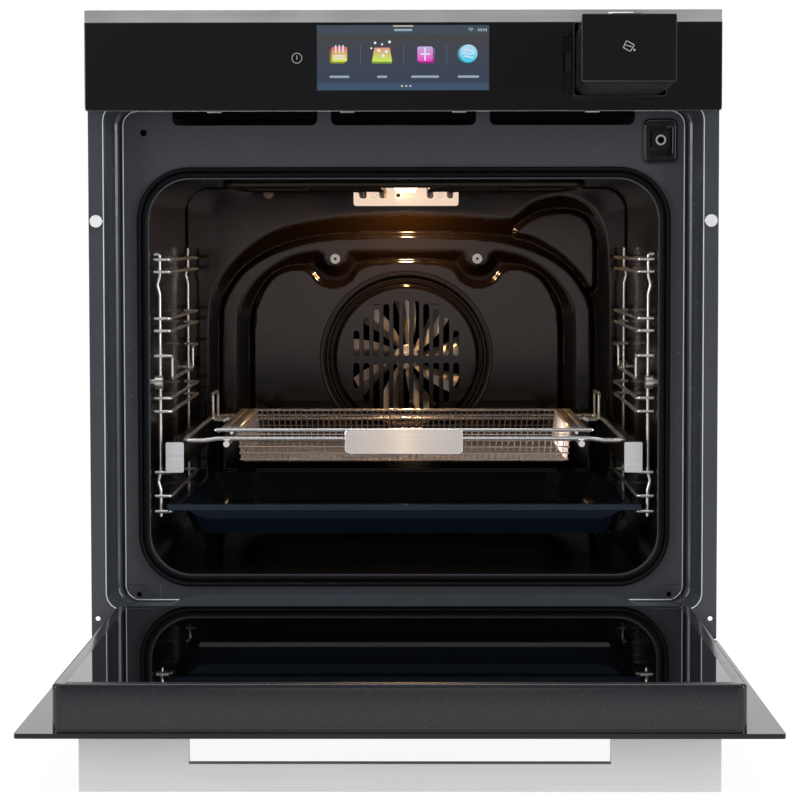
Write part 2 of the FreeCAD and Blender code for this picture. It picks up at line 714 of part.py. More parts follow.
def display_module():
    return box(-84.5, 84.5, -14, -3, 517, 582.5)


def tank_bay():
    outer = box(147.5, 248, -14, 246, 513, 586)
    inner = box(TANK_X0, TANK_X1, -15, 244.5, TANK_Z0, 584.5)
    pocket = box(149, 160, -15, 8, 517, 570)
    side_space = box(146, 158, 9.5, 250, 512, 590)
    return less(outer, [inner, pocket, side_space])


def tank_latch():
    return rounded_block(151.6, 157.4, -9, 3, 538, 556, 1)


def in_tank(shape):
    """Moves a tank piece drawn pushed in to where it stands pulled out."""
    shape = shape.copy()
    shape.translate(vec(0, -TANK_OUT, 0))
    return shape


def water_tank():
    body = rounded_block(161.5, 243.5, -14.5, TANK_LENGTH - 14.5, 515.2, 579.5, 9)
    body = body.cut(box(150, 260, -20, 300, 577, 600))
    hollow = rounded_block(163.5, 241.5, -12.5, TANK_LENGTH - 16.5, 518, 600, 7.5)
    return in_tank(body.cut(hollow))


def tank_lid():
    lid = box(163, 242, -14.5, TANK_LENGTH - 15, 577.1, 579.6)
    tab = disc(201, -11.2, 579.6, 13, 2.8, UP)
    tab = tab.common(box(180, 220, -14.3, 20, 579, 583))
    return in_tank(lid.fuse(tab))


def tank_cover():
    return in_tank(rounded_block(160.2, 244.8, -18, -14.6, 521.5, 581.5, 2))


# ---- Door, drawn shut ---------------------------------------------------------
def door_glass_outer():
    half = WIDTH / 2
    sheet = rounded_block(-half, half, -FASCIA_OUT, -FASCIA_OUT + GLASS, DOOR_BOTTOM, DOOR_TOP, 3)
    holes = [disc(s * 208, -20, 461, 2.3, 10) for s in (-1, 1)]
    return on_open_door(less(sheet, holes))


def door_tub():
    outer = rounded_block(-TUB_HALF, TUB_HALF, TUB_FRONT, TUB_BACK, TUB_BOTTOM, TUB_TOP, 6)
    rim = [e for e in outer.Edges if e.BoundBox.YMin > back(TUB_BACK) - 0.01]
    outer = outer.makeFillet(3.0, rim)
    inner = rounded_block(-TUB_HALF + SHEET, TUB_HALF - SHEET, TUB_FRONT - 1, TUB_BACK - SHEET,
                          TUB_BOTTOM + SHEET, TUB_TOP - SHEET, 5)
    window = box(-PANE_HALF, PANE_HALF, 0, 40, TUB_BOTTOM + 1.6, PANE_TOP + 9)
    cuts = [inner, window]
    for side in (-1, 1):
        x0, x1 = span(side, 247.2, 253.3)
        cuts.append(box(x0, x1, -9.9, 0, TUB_BOTTOM - 1, TUB_BOTTOM + 2))
    return on_open_door(less(outer, cuts))


def door_glass_inner():
    return on_open_door(box(-PANE_HALF, PANE_HALF, TUB_BACK - 4, TUB_BACK, TUB_BOTTOM + 1.6, PANE_TOP))


def door_top_trim():
    strip = box(-PANE_HALF, PANE_HALF, TUB_BACK - 1.5, TUB_BACK, PANE_TOP + 0.6, PANE_TOP + 9)
    web = box(-PANE_HALF + 2, PANE_HALF - 2, 2, TUB_BACK - 1.5, PANE_TOP + 3, PANE_TOP + 5)
    return on_open_door(strip.fuse(web))


def door_glass_middle():
    panes = [box(-243, 243, y, y + 3.2, 62, 472) for y in (-5, 8)]
    return on_open_door(group(panes))


def door_handle():
    bar = box(-HANDLE_HALF, HANDLE_HALF, -FASCIA_OUT - HANDLE_OUT, -FASCIA_OUT,
              HANDLE_LOW, HANDLE_HIGH)
    gap = box(-HANDLE_HALF + HANDLE_POST, HANDLE_HALF - HANDLE_POST,
              -FASCIA_OUT - HANDLE_OUT + HANDLE_BAR, -FASCIA_OUT + 1, 400, 500)
    holes = [disc(s * 208, -31, 461, 2.0, 14) for s in (-1, 1)]
    return on_open_door(less(bar, [gap] + holes))


def handle_screws():
    def screw(side):
        head = disc(side * 208, -13.9, 461, 4.2, 2.4)
        return head.fuse(disc(side * 208, -30, 461, 1.95, 16.2))
    return on_open_door(group(both_sides(screw)))


def door_hinges():
    def hinge(side):
        x0, x1 = span(side, 248, 252.5)
        arm = box(x0, x1, HINGE_Y - 4.6, HINGE_Y + 4.6, HINGE_Z, 60)
        eye = disc(x0, HINGE_Y, HINGE_Z, 4.6, x1 - x0, ALONG_X)
        c0, c1 = span(side, 243, 257)
        h0, h1 = span(side, 244.5, 255.5)
        channel = box(c0, c1, -12.5, 12, TUB_BOTTOM + SHEET, 235)
        channel = channel.cut(box(h0, h1, -11, 13, 60, 236))
        hole = disc(x0 - 1, HINGE_Y, HINGE_Z, 2.55, x1 - x0 + 2, ALONG_X)
        return join([arm, eye, channel]).cut(hole)
    return on_open_door(group(both_sides(hinge)))


def hinge_receivers():
    def receiver(side):
        pieces = []
        for inner, outer in ((244.8, 247.4), (253.1, 255.7)):
            x0, x1 = span(side, inner, outer)
            lug = box(x0, x1, HINGE_Y, 3.5, HINGE_Z - 4.6, HINGE_Z + 4.6)
            pieces.append(lug.fuse(disc(x0, HINGE_Y, HINGE_Z, 4.6, x1 - x0, ALONG_X)))
        p0, p1 = span(side, 232, 268)
        pieces.append(box(p0, p1, SHEET, 3.5, 3, 20))
        x0, x1 = span(side, 243.8, 256.7)
        pieces.append(disc(x0, HINGE_Y, HINGE_Z, 2.5, x1 - x0, ALONG_X))
        return join(pieces)
    return group(both_sides(receiver))


NODES = {
    "base_plate": base_plate,
    "side_panel_left": lambda: side_panel(-1),
    "side_panel_right": lambda: side_panel(1),
    "top_cover": top_cover,
    "rear_panel": rear_panel,
    "front_frame": front_frame,
    "frame_plugs": frame_plugs,
    "door_gasket": door_gasket,
    "drain_socket": drain_socket,
    "drain_nozzle": drain_nozzle,
    "cavity_liner": cavity_liner,
    "insulation_blanket": insulation_blanket,
    "rear_fan_panel": rear_fan_panel,
    "fan_panel_screws": fan_panel_screws,
    "ring_heater": ring_heater,
    "convection_fan": convection_fan,
    "fan_motor": fan_motor,
    "grill_element": grill_element,
    "grill_bracket": grill_bracket,
    "bottom_heater": bottom_heater,
    "lamp_housing": lamp_housing,
    "lamp_glass": lamp_glass,
    "lamp_bulb": lamp_bulb,
    "temperature_probe": temperature_probe,
    "side_rack_left": lambda: side_rack(-1),
    "side_rack_right": lambda: side_rack(1),
    "rack_nuts": rack_nuts,
    "runner_rails": runner_rails,
    "runner_middle_left": lambda: runner_middle(-1),
    "runner_middle_right": lambda: runner_middle(1),
    "runner_slide_left": lambda: runner_slide(-1),
    "runner_slide_right": lambda: runner_slide(1),
    "wire_shelf": wire_shelf,
    "airfry_basket": airfry_basket,
    "basket_plate": basket_plate,
    "baking_tray": baking_tray,
    "blower_case": blower_case,
    "blower_rotor": blower_rotor,
    "air_duct": air_duct,
    "steam_boiler": steam_boiler,
    "water_pump": water_pump,
    "control_board": control_board,
    "fascia_glass": fascia_glass,
    "fascia_trim": fascia_trim,
    "fascia_carrier": fascia_carrier,
    "display_module": display_module,
    "tank_bay": tank_bay,
    "tank_latch": tank_latch,
    "water_tank": water_tank,
    "tank_lid": tank_lid,
    "tank_cover": tank_cover,
    "door_glass_outer": door_glass_outer,
    "door_tub": door_tub,
    "door_glass_inner": door_glass_inner,
    "door_top_trim": door_top_trim,
    "door_glass_middle": door_glass_middle,
    "door_handle": door_handle,
    "handle_screws": handle_screws,
    "door_hinges": door_hinges,
    "hinge_receivers": hinge_receivers,
}

os.makedirs("parts", exist_ok=True)
for name, make in NODES.items():
    shape = make()
    shape.exportStep(f"parts/{name}.step")
    print(name, len(shape.Solids), shape.isValid(), round(shape.Volume / 1000, 1))
print(len(NODES), "nodes")
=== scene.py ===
import json
import math

import bpy
import numpy as np
from mathutils import Matrix, Vector


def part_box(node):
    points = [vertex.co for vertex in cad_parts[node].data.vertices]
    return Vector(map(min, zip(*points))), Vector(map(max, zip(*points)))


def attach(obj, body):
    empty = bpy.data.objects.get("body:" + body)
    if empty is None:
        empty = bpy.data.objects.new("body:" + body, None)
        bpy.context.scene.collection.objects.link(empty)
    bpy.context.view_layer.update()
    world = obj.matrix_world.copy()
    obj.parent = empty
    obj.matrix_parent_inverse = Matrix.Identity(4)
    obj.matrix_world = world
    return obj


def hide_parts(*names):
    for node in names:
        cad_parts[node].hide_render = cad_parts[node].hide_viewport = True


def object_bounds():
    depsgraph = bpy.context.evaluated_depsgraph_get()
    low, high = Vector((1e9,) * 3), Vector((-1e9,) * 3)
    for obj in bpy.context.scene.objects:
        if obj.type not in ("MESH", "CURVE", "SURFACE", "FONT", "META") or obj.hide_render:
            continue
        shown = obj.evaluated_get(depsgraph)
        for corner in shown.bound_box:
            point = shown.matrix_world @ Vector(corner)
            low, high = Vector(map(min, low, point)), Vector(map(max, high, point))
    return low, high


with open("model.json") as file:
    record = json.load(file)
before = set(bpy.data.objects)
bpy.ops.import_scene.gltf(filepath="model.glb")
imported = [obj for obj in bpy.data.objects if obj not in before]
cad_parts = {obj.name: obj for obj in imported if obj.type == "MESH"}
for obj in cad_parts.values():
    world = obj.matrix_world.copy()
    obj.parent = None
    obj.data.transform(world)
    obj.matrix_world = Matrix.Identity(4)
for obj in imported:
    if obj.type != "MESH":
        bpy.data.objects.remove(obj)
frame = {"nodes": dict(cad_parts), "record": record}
cad_low, cad_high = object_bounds()
NODES = frame["nodes"]
SCENE = bpy.context.scene

MM = 0.001
FRONT = -0.2735  # y of the flange's front face


def back(depth):
    """y, in metres, of a place so many millimetres behind the flange's front."""
    return FRONT + depth * MM


# ---- Materials ----
def put(socket, value):
    """Sets an input to a constant, or feeds it from another node's output."""
    if isinstance(value, bpy.types.NodeSocket):
        socket.id_data.links.new(value, socket)
    else:
        socket.default_value = value


def set_all(node, **inputs):
    for key, value in inputs.items():
        put(node.inputs[key.replace("_", " ")], value)


def add_node(tree, kind, **inputs):
    node = tree.nodes.new("ShaderNode" + kind)
    set_all(node, **inputs)
    return node


def new_material(name):
    mat = bpy.data.materials.new(name)
    mat.use_nodes = True
    return mat, mat.node_tree, mat.node_tree.nodes["Principled BSDF"]


def coords(tree, stretch=(1, 1, 1)):
    """Object coordinates in metres, stretched where a finish has a grain."""
    place = add_node(tree, "TexCoord").outputs["Object"]
    return add_node(tree, "Mapping", Vector=place, Scale=stretch).outputs["Vector"]


def noise(tree, vector, scale, detail=2.0, rough=0.5):
    node = add_node(tree, "TexNoise", Vector=vector, Scale=scale, Detail=detail, Roughness=rough)
    return node.outputs["Fac"]


def ramp(tree, value, stops):
    node = add_node(tree, "ValToRGB", Fac=value)
    elements = node.color_ramp.elements
    while len(elements) < len(stops):
        elements.new(0.5)
    for element, (where, colour) in zip(elements, stops):
        element.position = where
        element.color = (*colour, 1)
    return node.outputs["Color"]


def grey(value):
    return (value, value, value)


def scaled(colour, factor):
    return tuple(min(1.0, c * factor) for c in colour)


def varied(tree, value, colour, less, more):
    """A colour that wavers between two shades of itself."""
    return ramp(tree, value, [(0.3, scaled(colour, less)), (0.7, scaled(colour, more))])


def unsteady(tree, value, rough, less, more, high=0.7):
    """A roughness that wavers a little about its mean."""
    return ramp(tree, value, [(0.3, grey(rough * less)), (high, grey(rough * more))])


def axis_of(tree, axis):
    """One of the object coordinates, in metres."""
    return add_node(tree, "SeparateXYZ", Vector=coords(tree)).outputs[axis]


def place_between(tree, value, low, high):
    """Where a value stands between two limits, from 0 to 1."""
    return add_node(tree, "MapRange", Value=value, From_Min=low, From_Max=high).outputs["Result"]


def maths(tree, operation, *values):
    node = tree.nodes.new("ShaderNodeMath")
    node.operation = operation
    for socket, value in zip(node.inputs, values):
        put(socket, value)
    return node.outputs[0]


def bump(tree, shader, height, strength, distance):
    node = add_node(tree, "Bump", Height=height, Strength=strength, Distance=distance)
    set_all(shader, Normal=node.outputs["Normal"])


def flecked(tree, where, tone, fleck, share, grain):
    """Adds fine flecks of another colour to a tone."""
    cells = add_node(tree, "TexVoronoi", Vector=where, Scale=grain)
    dots = ramp(tree, cells.outputs["Distance"], [(0.25, grey(1)), (0.45, grey(0))])
    split = add_node(tree, "SeparateColor", Color=cells.outputs["Color"])
    pick = ramp(tree, split.outputs["Red"], [(1 - share, grey(0)), (1 - share * 0.3, grey(1))])
    mix = tree.nodes.new("ShaderNodeMix")
    mix.data_type = "RGBA"
    set_all(mix, Factor=maths(tree, "MULTIPLY", dots, pick), A=tone, B=(*fleck, 1))
    return mix.outputs["Result"]


def enamel(name, colour, rough, spec=0.5, flecks=None, mottle=0.06, tint=(1, 1, 1)):
    """Fired enamel with faint mottling; flecks are given as their colour, share and grain."""
    mat, tree, shader = new_material(name)
    where = coords(tree)
    tone = varied(tree, noise(tree, where, 35.0, 4.0), colour, 1 - mottle, 1 + mottle)
    if flecks:
        tone = flecked(tree, where, tone, *flecks)
    set_all(shader, Base_Color=tone, Roughness=unsteady(tree, noise(tree, where, 90.0), rough, 0.85, 1.15),
            Specular_IOR_Level=spec, Specular_Tint=(*tint, 1))
    bump(tree, shader, noise(tree, where, 900.0), 0.02, 0.00005)
    return mat


def brushed(name, colour, rough, stretch=(4, 900, 900), metal=1.0, depth=0.15):
    """Metal with a fine grain along the direction that isn't stretched."""
    mat, tree, shader = new_material(name)
    grain = noise(tree, coords(tree, stretch), 1.0, 4.0, 0.6)
    both = maths(tree, "MULTIPLY_ADD", grain, 0.5, noise(tree, coords(tree), 14.0))
    set_all(shader, Base_Color=varied(tree, grain, colour, 0.93, 1.05),
            Roughness=unsteady(tree, both, rough, 0.8, 1.25, 0.9), Metallic=metal)
    bump(tree, shader, grain, depth, 0.0001)
    return mat


def lit_middle(mat, colour, reach, strength):
    """Painted lamp light: an emitted glow on the middle of a plate, fading towards its two ends."""
    tree = mat.node_tree
    stops = [(0.0, colour), (reach * 0.35, scaled(colour, 0.35)), (reach, grey(0))]
    tone = ramp(tree, maths(tree, "ABSOLUTE", axis_of(tree, "X")), stops)
    set_all(tree.nodes["Principled BSDF"], Emission_Color=tone, Emission_Strength=strength)


def plastic(name, colour, rough, grain=600.0, depth=0.12, spec=0.5):
    """Moulded plastic with a fine spark-eroded texture."""
    mat, tree, shader = new_material(name)
    where = coords(tree)
    set_all(shader, Base_Color=varied(tree, noise(tree, where, 60.0), colour, 0.92, 1.08),
            Roughness=unsteady(tree, noise(tree, where, 120.0), rough, 0.85, 1.15), Specular_IOR_Level=spec)
    bump(tree, shader, noise(tree, where, grain), depth, 0.0002)
    return mat


def black_glass(name, colour, rough, spec):
    """Back-printed glass: very even, with only a trace of waviness."""
    mat, tree, shader = new_material(name)
    where = coords(tree)
    set_all(shader, Base_Color=varied(tree, noise(tree, where, 6.0, 1.0), colour, 0.9, 1.1),
            Roughness=unsteady(tree, noise(tree, where, 25.0), rough, 0.7, 1.5), Specular_IOR_Level=spec)
    return mat


def glow(name, colour, strength, base=(0.8, 0.8, 0.8)):
    """A surface that gives off light of its own."""
    mat, tree, shader = new_material(name)
    tone = varied(tree, noise(tree, coords(tree), 90.0), colour, 0.92, 1)
    set_all(shader, Base_Color=(*base, 1), Emission_Color=tone, Emission_Strength=strength, Roughness=0.3)
    return mat


def clear(name, colour):
    """Clear, perfectly smooth glass."""
    mat, tree, shader = new_material(name)
    tone = varied(tree, noise(tree, coords(tree), 30.0), colour, 0.95, 1)
    set_all(shader, Base_Color=tone, Roughness=0.0, Transmission_Weight=1.0, IOR=1.45)
    return mat


# Each finish: how it is made and with what. A material slot's finish has the slot's name.
FINISHES = {
    "zinc_sheet": (brushed, (0.50, 0.51, 0.52), 0.38, (60, 60, 60), 0.9, 0.1),
    "frame_enamel": (enamel, (0.048, 0.053, 0.064), 0.24, 0.5, ((0.082, 0.088, 0.10), 0.3, 1500.0), 0.05),
    "cavity_enamel": (enamel, (0.008, 0.0048, 0.003), 0.09, 0.3),
    "tub_enamel": (enamel, (0.017, 0.018, 0.022), 0.17, 0.4, ((0.076, 0.069, 0.061), 0.15, 1150.0), 0.05),
    "tray_enamel": (enamel, (0.006, 0.0105, 0.019), 0.10, 0.5, None, 0.06, (0.62, 0.80, 1.0)),
    "white_plastic": (plastic, (0.83, 0.83, 0.86), 0.35),
    "black_rubber": (plastic, (0.003, 0.003, 0.004), 0.6, 300.0, 0.12, 0.14),
    "black_plastic": (plastic, (0.016, 0.016, 0.018), 0.36),
    "grey_plastic": (plastic, (0.25, 0.25, 0.26), 0.45),
    "bright_steel": (brushed, (0.90, 0.90, 0.92), 0.34, (3, 500, 500), 0.75, 0.04),
    "chrome_wire": (brushed, (0.95, 0.94, 0.93), 0.18, (30, 30, 30), 0.8, 0.0),
    "steel_screw": (brushed, (0.80, 0.77, 0.72), 0.3, (200, 200, 200)),
    "heater_tube": (plastic, (0.012, 0.007, 0.004), 0.45),
    "wool": (plastic, (0.62, 0.58, 0.45), 0.95, 160.0, 0.9),
    "black_glass": (black_glass, (0.0075, 0.0075, 0.0083), 0.03, 0.32),
    "clear_glass": (clear, (0.86, 0.93, 0.91)),
    "dark_glass": (black_glass, (0.0015, 0.0015, 0.0018), 0.02, 0.6),
    "lamp_glass": (glow, (1.0, 0.78, 0.52), 3.0, (0.9, 0.85, 0.75)),
    "lamp_bulb": (glow, (1.0, 0.72, 0.4), 30.0),
    "trim_steel": (brushed, (0.76, 0.74, 0.73), 0.36, (3, 700, 700)),
    "handle_steel": (brushed, (0.74, 0.74, 0.74), 0.5, (5, 900, 900), 0.25, 0.03),
    "display_plastic": (plastic, (0.01, 0.011, 0.013), 0.2),
    "board_green": (plastic, (0.02, 0.12, 0.05), 0.4),
    "tank_plastic": (plastic, (0.010, 0.010, 0.013), 0.3),
    "basket_steel": (brushed, (0.68, 0.54, 0.45), 0.25, (60, 60, 60), 1.0, 0.0),
    "lip_enamel": (enamel, (0.0015, 0.002, 0.0035), 0.42, 0.12),
    "basket_sheet": (brushed, (0.74, 0.69, 0.65), 0.33, (500, 3, 500), 0.9, 0.06),
    "fan_alloy": (brushed, (1.0, 0.85, 0.72), 0.36, (80, 80, 80), 0.55, 0.06),
    # painted highlights: light wires along the frame's bright radii
    "bead_enamel": (enamel, (0.80, 0.82, 0.86), 0.10),
    # the basket's plate; lit_middle paints a lamp glow on its middle
    "warm_plate": (brushed, (0.86, 0.79, 0.74), 0.42, (3, 500, 500), 0.5, 0.06),
    # painted light: faint glowing sheets on the tray's front wall and its underside
    "slate_wall": (glow, (0.45, 0.70, 1.0), 0.009, (0.006, 0.0105, 0.019)),
    "slate_matt": (glow, (0.93, 1.0, 0.99), 0.06, (0.05, 0.052, 0.055)),
    "shadow": (plastic, (0.0012, 0.0012, 0.0012), 0.9, 600.0, 0.0, 0.05),
    "liner_enamel": (enamel, (0.008, 0.0048, 0.003), 0.14, 0.28),
    # painted shade on the floors of the fan panel's grooves: darker and less glossy
    "groove_enamel": (enamel, (0.0065, 0.003, 0.0008), 0.16, 0.12),
    # painted lamp light: the grill's bracket and its stamped rings glow, as the lamp is kept off them
    "bracket_lit": (glow, (0.90, 0.68, 0.52), 1.0, (0.02, 0.015, 0.01)),
    "bracket_mark": (glow, (0.60, 0.42, 0.30), 0.9, (0.02, 0.015, 0.01)),
    "rail_steel": (brushed, (0.035, 0.032, 0.03), 0.3, (3, 500, 500), 1.0, 0.04),
    "probe_metal": (brushed, (0.12, 0.09, 0.07), 0.14, (60, 60, 60), 1.0, 0.03),
    # painted highlight lines on the glass edges round the tank and fascia
    "edge_light": (plastic, (0.05, 0.05, 0.053), 0.25),
    # dimmer painted highlights on the frame's radii, its pads' rims and the tub's top edge
    "bead_dim": (enamel, (0.065, 0.07, 0.08), 0.3),
    "drain_black": (plastic, (0.006, 0.006, 0.008), 0.12),
    "white_print": (plastic, (0.42, 0.42, 0.43), 0.5),
}
M = {key: make(key, *values) for key, (make, *values) in FINISHES.items()}
# Paints a warm lamp glow on the middle of the basket's front plate.
lit_middle(M["warm_plate"], (1.0, 0.66, 0.38), 0.05, 0.3)


def crisp_edges(limit):
    """A modifier group that keeps edges sharper than the limit crisp and smooths the rest."""
    group = bpy.data.node_groups.new("crisp_edges", "GeometryNodeTree")
    for way in ("INPUT", "OUTPUT"):
        group.interface.new_socket("Geometry", in_out=way, socket_type="NodeSocketGeometry")
    entry, leave, angle, below, edges = (group.nodes.new(kind) for kind in (
        "NodeGroupInput", "NodeGroupOutput", "GeometryNodeInputMeshEdgeAngle", "FunctionNodeCompare",
        "GeometryNodeSetShadeSmooth"))
    below.operation = "LESS_EQUAL"
    put(below.inputs[0], angle.outputs["Unsigned Angle"])
    put(below.inputs[1], math.radians(limit))
    edges.domain = "EDGE"
    set_all(edges, Geometry=entry.outputs[0], Shade_Smooth=below.outputs[0])
    set_all(leave, Geometry=edges.outputs[0])
    return group


CRISP = crisp_edges(32)


def dress(node, mat):
    """Gives a carried-over CAD node its finish and smooth, crisp-edged shading."""
    mesh = NODES[node].data
    mesh.materials.clear()
    mesh.materials.append(mat)
    if "custom_normal" in mesh.attributes:
        mesh.attributes.remove(mesh.attributes["custom_normal"])
    mesh.shade_smooth()
    weld = NODES[node].modifiers.new("weld", "WELD")
    weld.merge_threshold = 0.002 * MM
    NODES[node].modifiers.new("crisp_edges", "NODES").node_group = CRISP


# Nodes that look different from the rest of their material slot.
LOOKS = {
    # the basket's plate and the grill's bracket carry painted lamp light
    "basket_plate": "warm_plate", "grill_bracket": "bracket_lit", "tank_lid": "tank_plastic",
    "cavity_liner": "liner_enamel", "temperature_probe": "probe_metal", "drain_socket": "drain_black",
    **dict.fromkeys(("runner_rails", "runner_middle_left", "runner_middle_right", "runner_slide_left",
                     "runner_slide_right"), "rail_steel"),
}
for entry in frame["record"]["subparts"]:
    dress(entry["node"], M[LOOKS.get(entry["node"], entry["material_slot"])])


# ---- Building new pieces ----
def piece(name, verts, faces, slot, body="oven", look=None, angle=35):
    """A mesh piece, in metres in the row frame, that rides on a body."""
    mesh = bpy.data.meshes.new(name)
    mesh.from_pydata([tuple(v) for v in verts], [], [tuple(f) for f in faces])
    mesh.validate()
    mesh.update()
    return finish_piece(name, mesh, slot, body, look, angle)


def finish_piece(name, mesh, slot, body, look=None, angle=35):
    obj = bpy.data.objects.new(name, mesh)
    SCENE.collection.objects.link(obj)
    mesh.materials.append(M[look or slot])
    mesh.shade_smooth()
    mesh.set_sharp_from_angle(angle=math.radians(angle))
    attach(obj, body)
    return obj


def round_edges(obj, width, segments):
    """A bevel of a width in millimetres on every edge it is allowed to take."""
    edge = obj.modifiers.new("edge", "BEVEL")
    edge.width = width * MM
    edge.segments = segments
    return edge


def thicken(obj, thick, offset=-1):
    """Makes a skin a sheet so many millimetres thick."""
    sheet = obj.modifiers.new("sheet", "SOLIDIFY")
    sheet.thickness = thick * MM
    sheet.offset = offset


def rounded_outline(x0, x1, z0, z1, radius, steps=6):
    """Points round a rounded rectangle, in millimetres, anticlockwise seen from the front."""
    points = []
    corners = ((x1 - radius, z0 + radius, -90), (x1 - radius, z1 - radius, 0),
               (x0 + radius, z1 - radius, 90), (x0 + radius, z0 + radius, 180))
    for cx, cz, start in corners:
        for i in range(steps + 1):
            a = math.radians(start + 90 * i / steps)
            points.append((cx + radius * math.cos(a), cz + radius * math.sin(a)))
    return points


def circle_outline(x, z, radius, count=24):
    turns = [2 * math.pi * i / count for i in range(count)]
    return [(x + radius * math.cos(a), z + radius * math.sin(a)) for a in turns]


def filled(outlines, thick, bevel=0.0):
    """A flat plate in the X-Z plane with holes, as a mesh centred on y = 0."""
    data = bpy.data.curves.new("outline", "CURVE")
    data.dimensions = "2D"
    data.fill_mode = "BOTH"
    data.extrude = max(thick / 2 - bevel, 0) * MM
    data.bevel_depth = bevel * MM
    data.bevel_resolution = 2
    for outline in outlines:
        spline = data.splines.new("POLY")
        spline.points.add(len(outline) - 1)
        for point, (x, z) in zip(spline.points, outline):
            point.co = (x * MM, z * MM, 0, 1)
        spline.use_cyclic_u = True
    obj = bpy.data.objects.new("outline", data)
    SCENE.collection.objects.link(obj)
    graph = bpy.context.evaluated_depsgraph_get()
    mesh = bpy.data.meshes.new_from_object(obj.evaluated_get(graph))
    bpy.data.objects.remove(obj)
    bpy.data.curves.remove(data)
    mesh.transform(Matrix.Rotation(math.radians(90), 4, "X"))
    return mesh


def plate(name, outlines, depth, thick, slot, body="oven", look=None, bevel=0.0):
    """A flat plate that faces the front, its middle at one depth behind the flange's front."""
    mesh = filled(outlines, thick, bevel)
    mesh.transform(Matrix.Translation((0, back(depth), 0)))
    return finish_piece(name, mesh, slot, body, look)


def sweep(points, radius, sides=8, closed=False):
    """Vertices and faces of a round wire through points given as (x, depth, z) in millimetres."""
    path = [Vector((p[0] * MM, back(p[1]), p[2] * MM)) for p in points]
    count = len(path)
    verts, faces = [], []
    normal = None
    for i, point in enumerate(path):
        before = path[i - 1] if i > 0 or closed else point
        after = path[(i + 1) % count] if i < count - 1 or closed else point
        into = (point - before).normalized() if (point - before).length > 0 else None
        out = (after - point).normalized() if (after - point).length > 0 else None
        tangent = ((into or out) + (out or into)).normalized()
        if normal is None:
            normal = tangent.orthogonal().normalized()
        normal = (normal - tangent * normal.dot(tangent)).normalized()
        other = tangent.cross(normal)
        stretch = 1.0
        if into and out:
            stretch = 1.0 / max(0.5, math.cos(into.angle(out) / 2))
        for k in range(sides):
            a = 2 * math.pi * (k + 0.5) / sides
            verts.append(point + (normal * math.cos(a) + other * math.sin(a)) * (radius * MM * stretch))
    rings = count if closed else count - 1
    for i in range(rings):
        j = (i + 1) % count
        for k in range(sides):
            m = (k + 1) % sides
            faces.append((i * sides + k, i * sides + m, j * sides + m, j * sides + k))
    if not closed:
        faces.append(tuple(reversed(range(sides))))
        faces.append(tuple(range((count - 1) * sides, count * sides)))
    return verts, faces


def bead(outline, depth, radius, sides=6):
    """A wire that follows a flat outline at one depth behind the flange's front."""
    return sweep([(x, depth, z) for x, z in outline], radius, sides, True)


def bent(points, bend, steps=4):
    """Rounds the corners of a wire's route."""
    out = [points[0]]
    for i in range(1, len(points) - 1):
        a, b, c = (Vector(points[j]) for j in (i - 1, i, i + 1))
        reach = min(bend, (b - a).length * 0.45, (c - b).length * 0.45)
        start = b + (a - b).normalized() * reach
        end = b + (c - b).normalized() * reach
        for k in range(steps + 1):
            t = k / steps
            out.append(tuple(start * (1 - t) ** 2 + b * 2 * t * (1 - t) + end * t ** 2))
    out.append(points[-1])
    return out


def gather(parts):
    """Several vertex and face lists as one."""
    verts, faces = [], []
    for part_verts, part_faces in parts:
        base = len(verts)
        verts += list(part_verts)
        faces += [tuple(base + i for i in face) for face in part_faces]
    return verts, faces


def slab(x0, x1, d0, d1, z0, z1):
    """Vertices and faces of a block given in millimetres."""
    verts = [(x * MM, back(d), z * MM) for x in (x0, x1) for d in (d0, d1) for z in (z0, z1)]
    faces = [(0, 1, 3, 2), (4, 6, 7, 5), (0, 4, 5, 1), (2, 3, 7, 6), (0, 2, 6, 4), (1, 5, 7, 3)]
    return verts, faces


def ring_faces(rings, count):
    """The faces between closed rings of so many points each."""
    faces = []
    for r in range(rings - 1):
        for i in range(count):
            j = (i + 1) % count
            faces.append((r * count + i, r * count + j, (r + 1) * count + j, (r + 1) * count + i))
    return faces


# ---- Fan panel ----
PANEL_DEPTH = 440.0  # front face of the stamped panel
PANEL_HALF, PANEL_LOW, PANEL_HIGH = 243.0, 60.0, 438.5
FAN_Z, SLOT_Z = 251.0, 248.5  # the fan's axis stands at x = 0; its slots centre a little lower
SLOT_PITCH, SLOT_HALF = 11.05, 3.4


def smooth_loop(points, steps=8):
    """A closed Catmull-Rom curve through the points."""
    count = len(points)
    out = []
    for i in range(count):
        a, b, c, d = (np.array(points[(i + k - 1) % count], float) for k in range(4))
        for k in range(steps):
            t = k / steps
            bow = (2 * a - 5 * b + 4 * c - d) * t ** 2 + (3 * b - a - 3 * c + d) * t ** 3
            out.append(0.5 * (2 * b + (c - a) * t + bow))
    return np.array(out)


def mirrored(half):
    """The closed outline of a shape given by its right half, from the top's centre to the bottom's."""
    left = [(-x, z) for x, z in reversed(half) if x > 0]
    return smooth_loop(half + left)


def inside_by(loop, x, z):
    """How far each place lies inside a closed outline; negative outside."""
    best = np.full(x.shape, 1e9)
    inside = np.zeros(x.shape, bool)
    for a, b in zip(loop, np.roll(loop, -1, axis=0)):
        run = b - a
        t = np.clip(((x - a[0]) * run[0] + (z - a[1]) * run[1]) / max(run @ run, 1e-9), 0, 1)
        best = np.minimum(best, np.hypot(x - a[0] - t * run[0], z - a[1] - t * run[1]))
        if a[1] != b[1]:
            crosses = (a[1] > z) != (b[1] > z)
            inside ^= crosses & (x < (b[0] - a[0]) * (z - a[1]) / (b[1] - a[1]) + a[0])
    return np.where(inside, best, -best)


def groove(from_outside, from_inside, fall, deepest, rise):
    """A pressed groove that falls steadily from its outer edge and rises steeply to its inner one."""
    down = np.clip(from_outside, 0, None) * fall
    up = np.clip(from_inside / rise, 0, 1)
    wall = deepest * up * up * (3 - 2 * up)
    return np.minimum(np.minimum(down, wall), deepest)


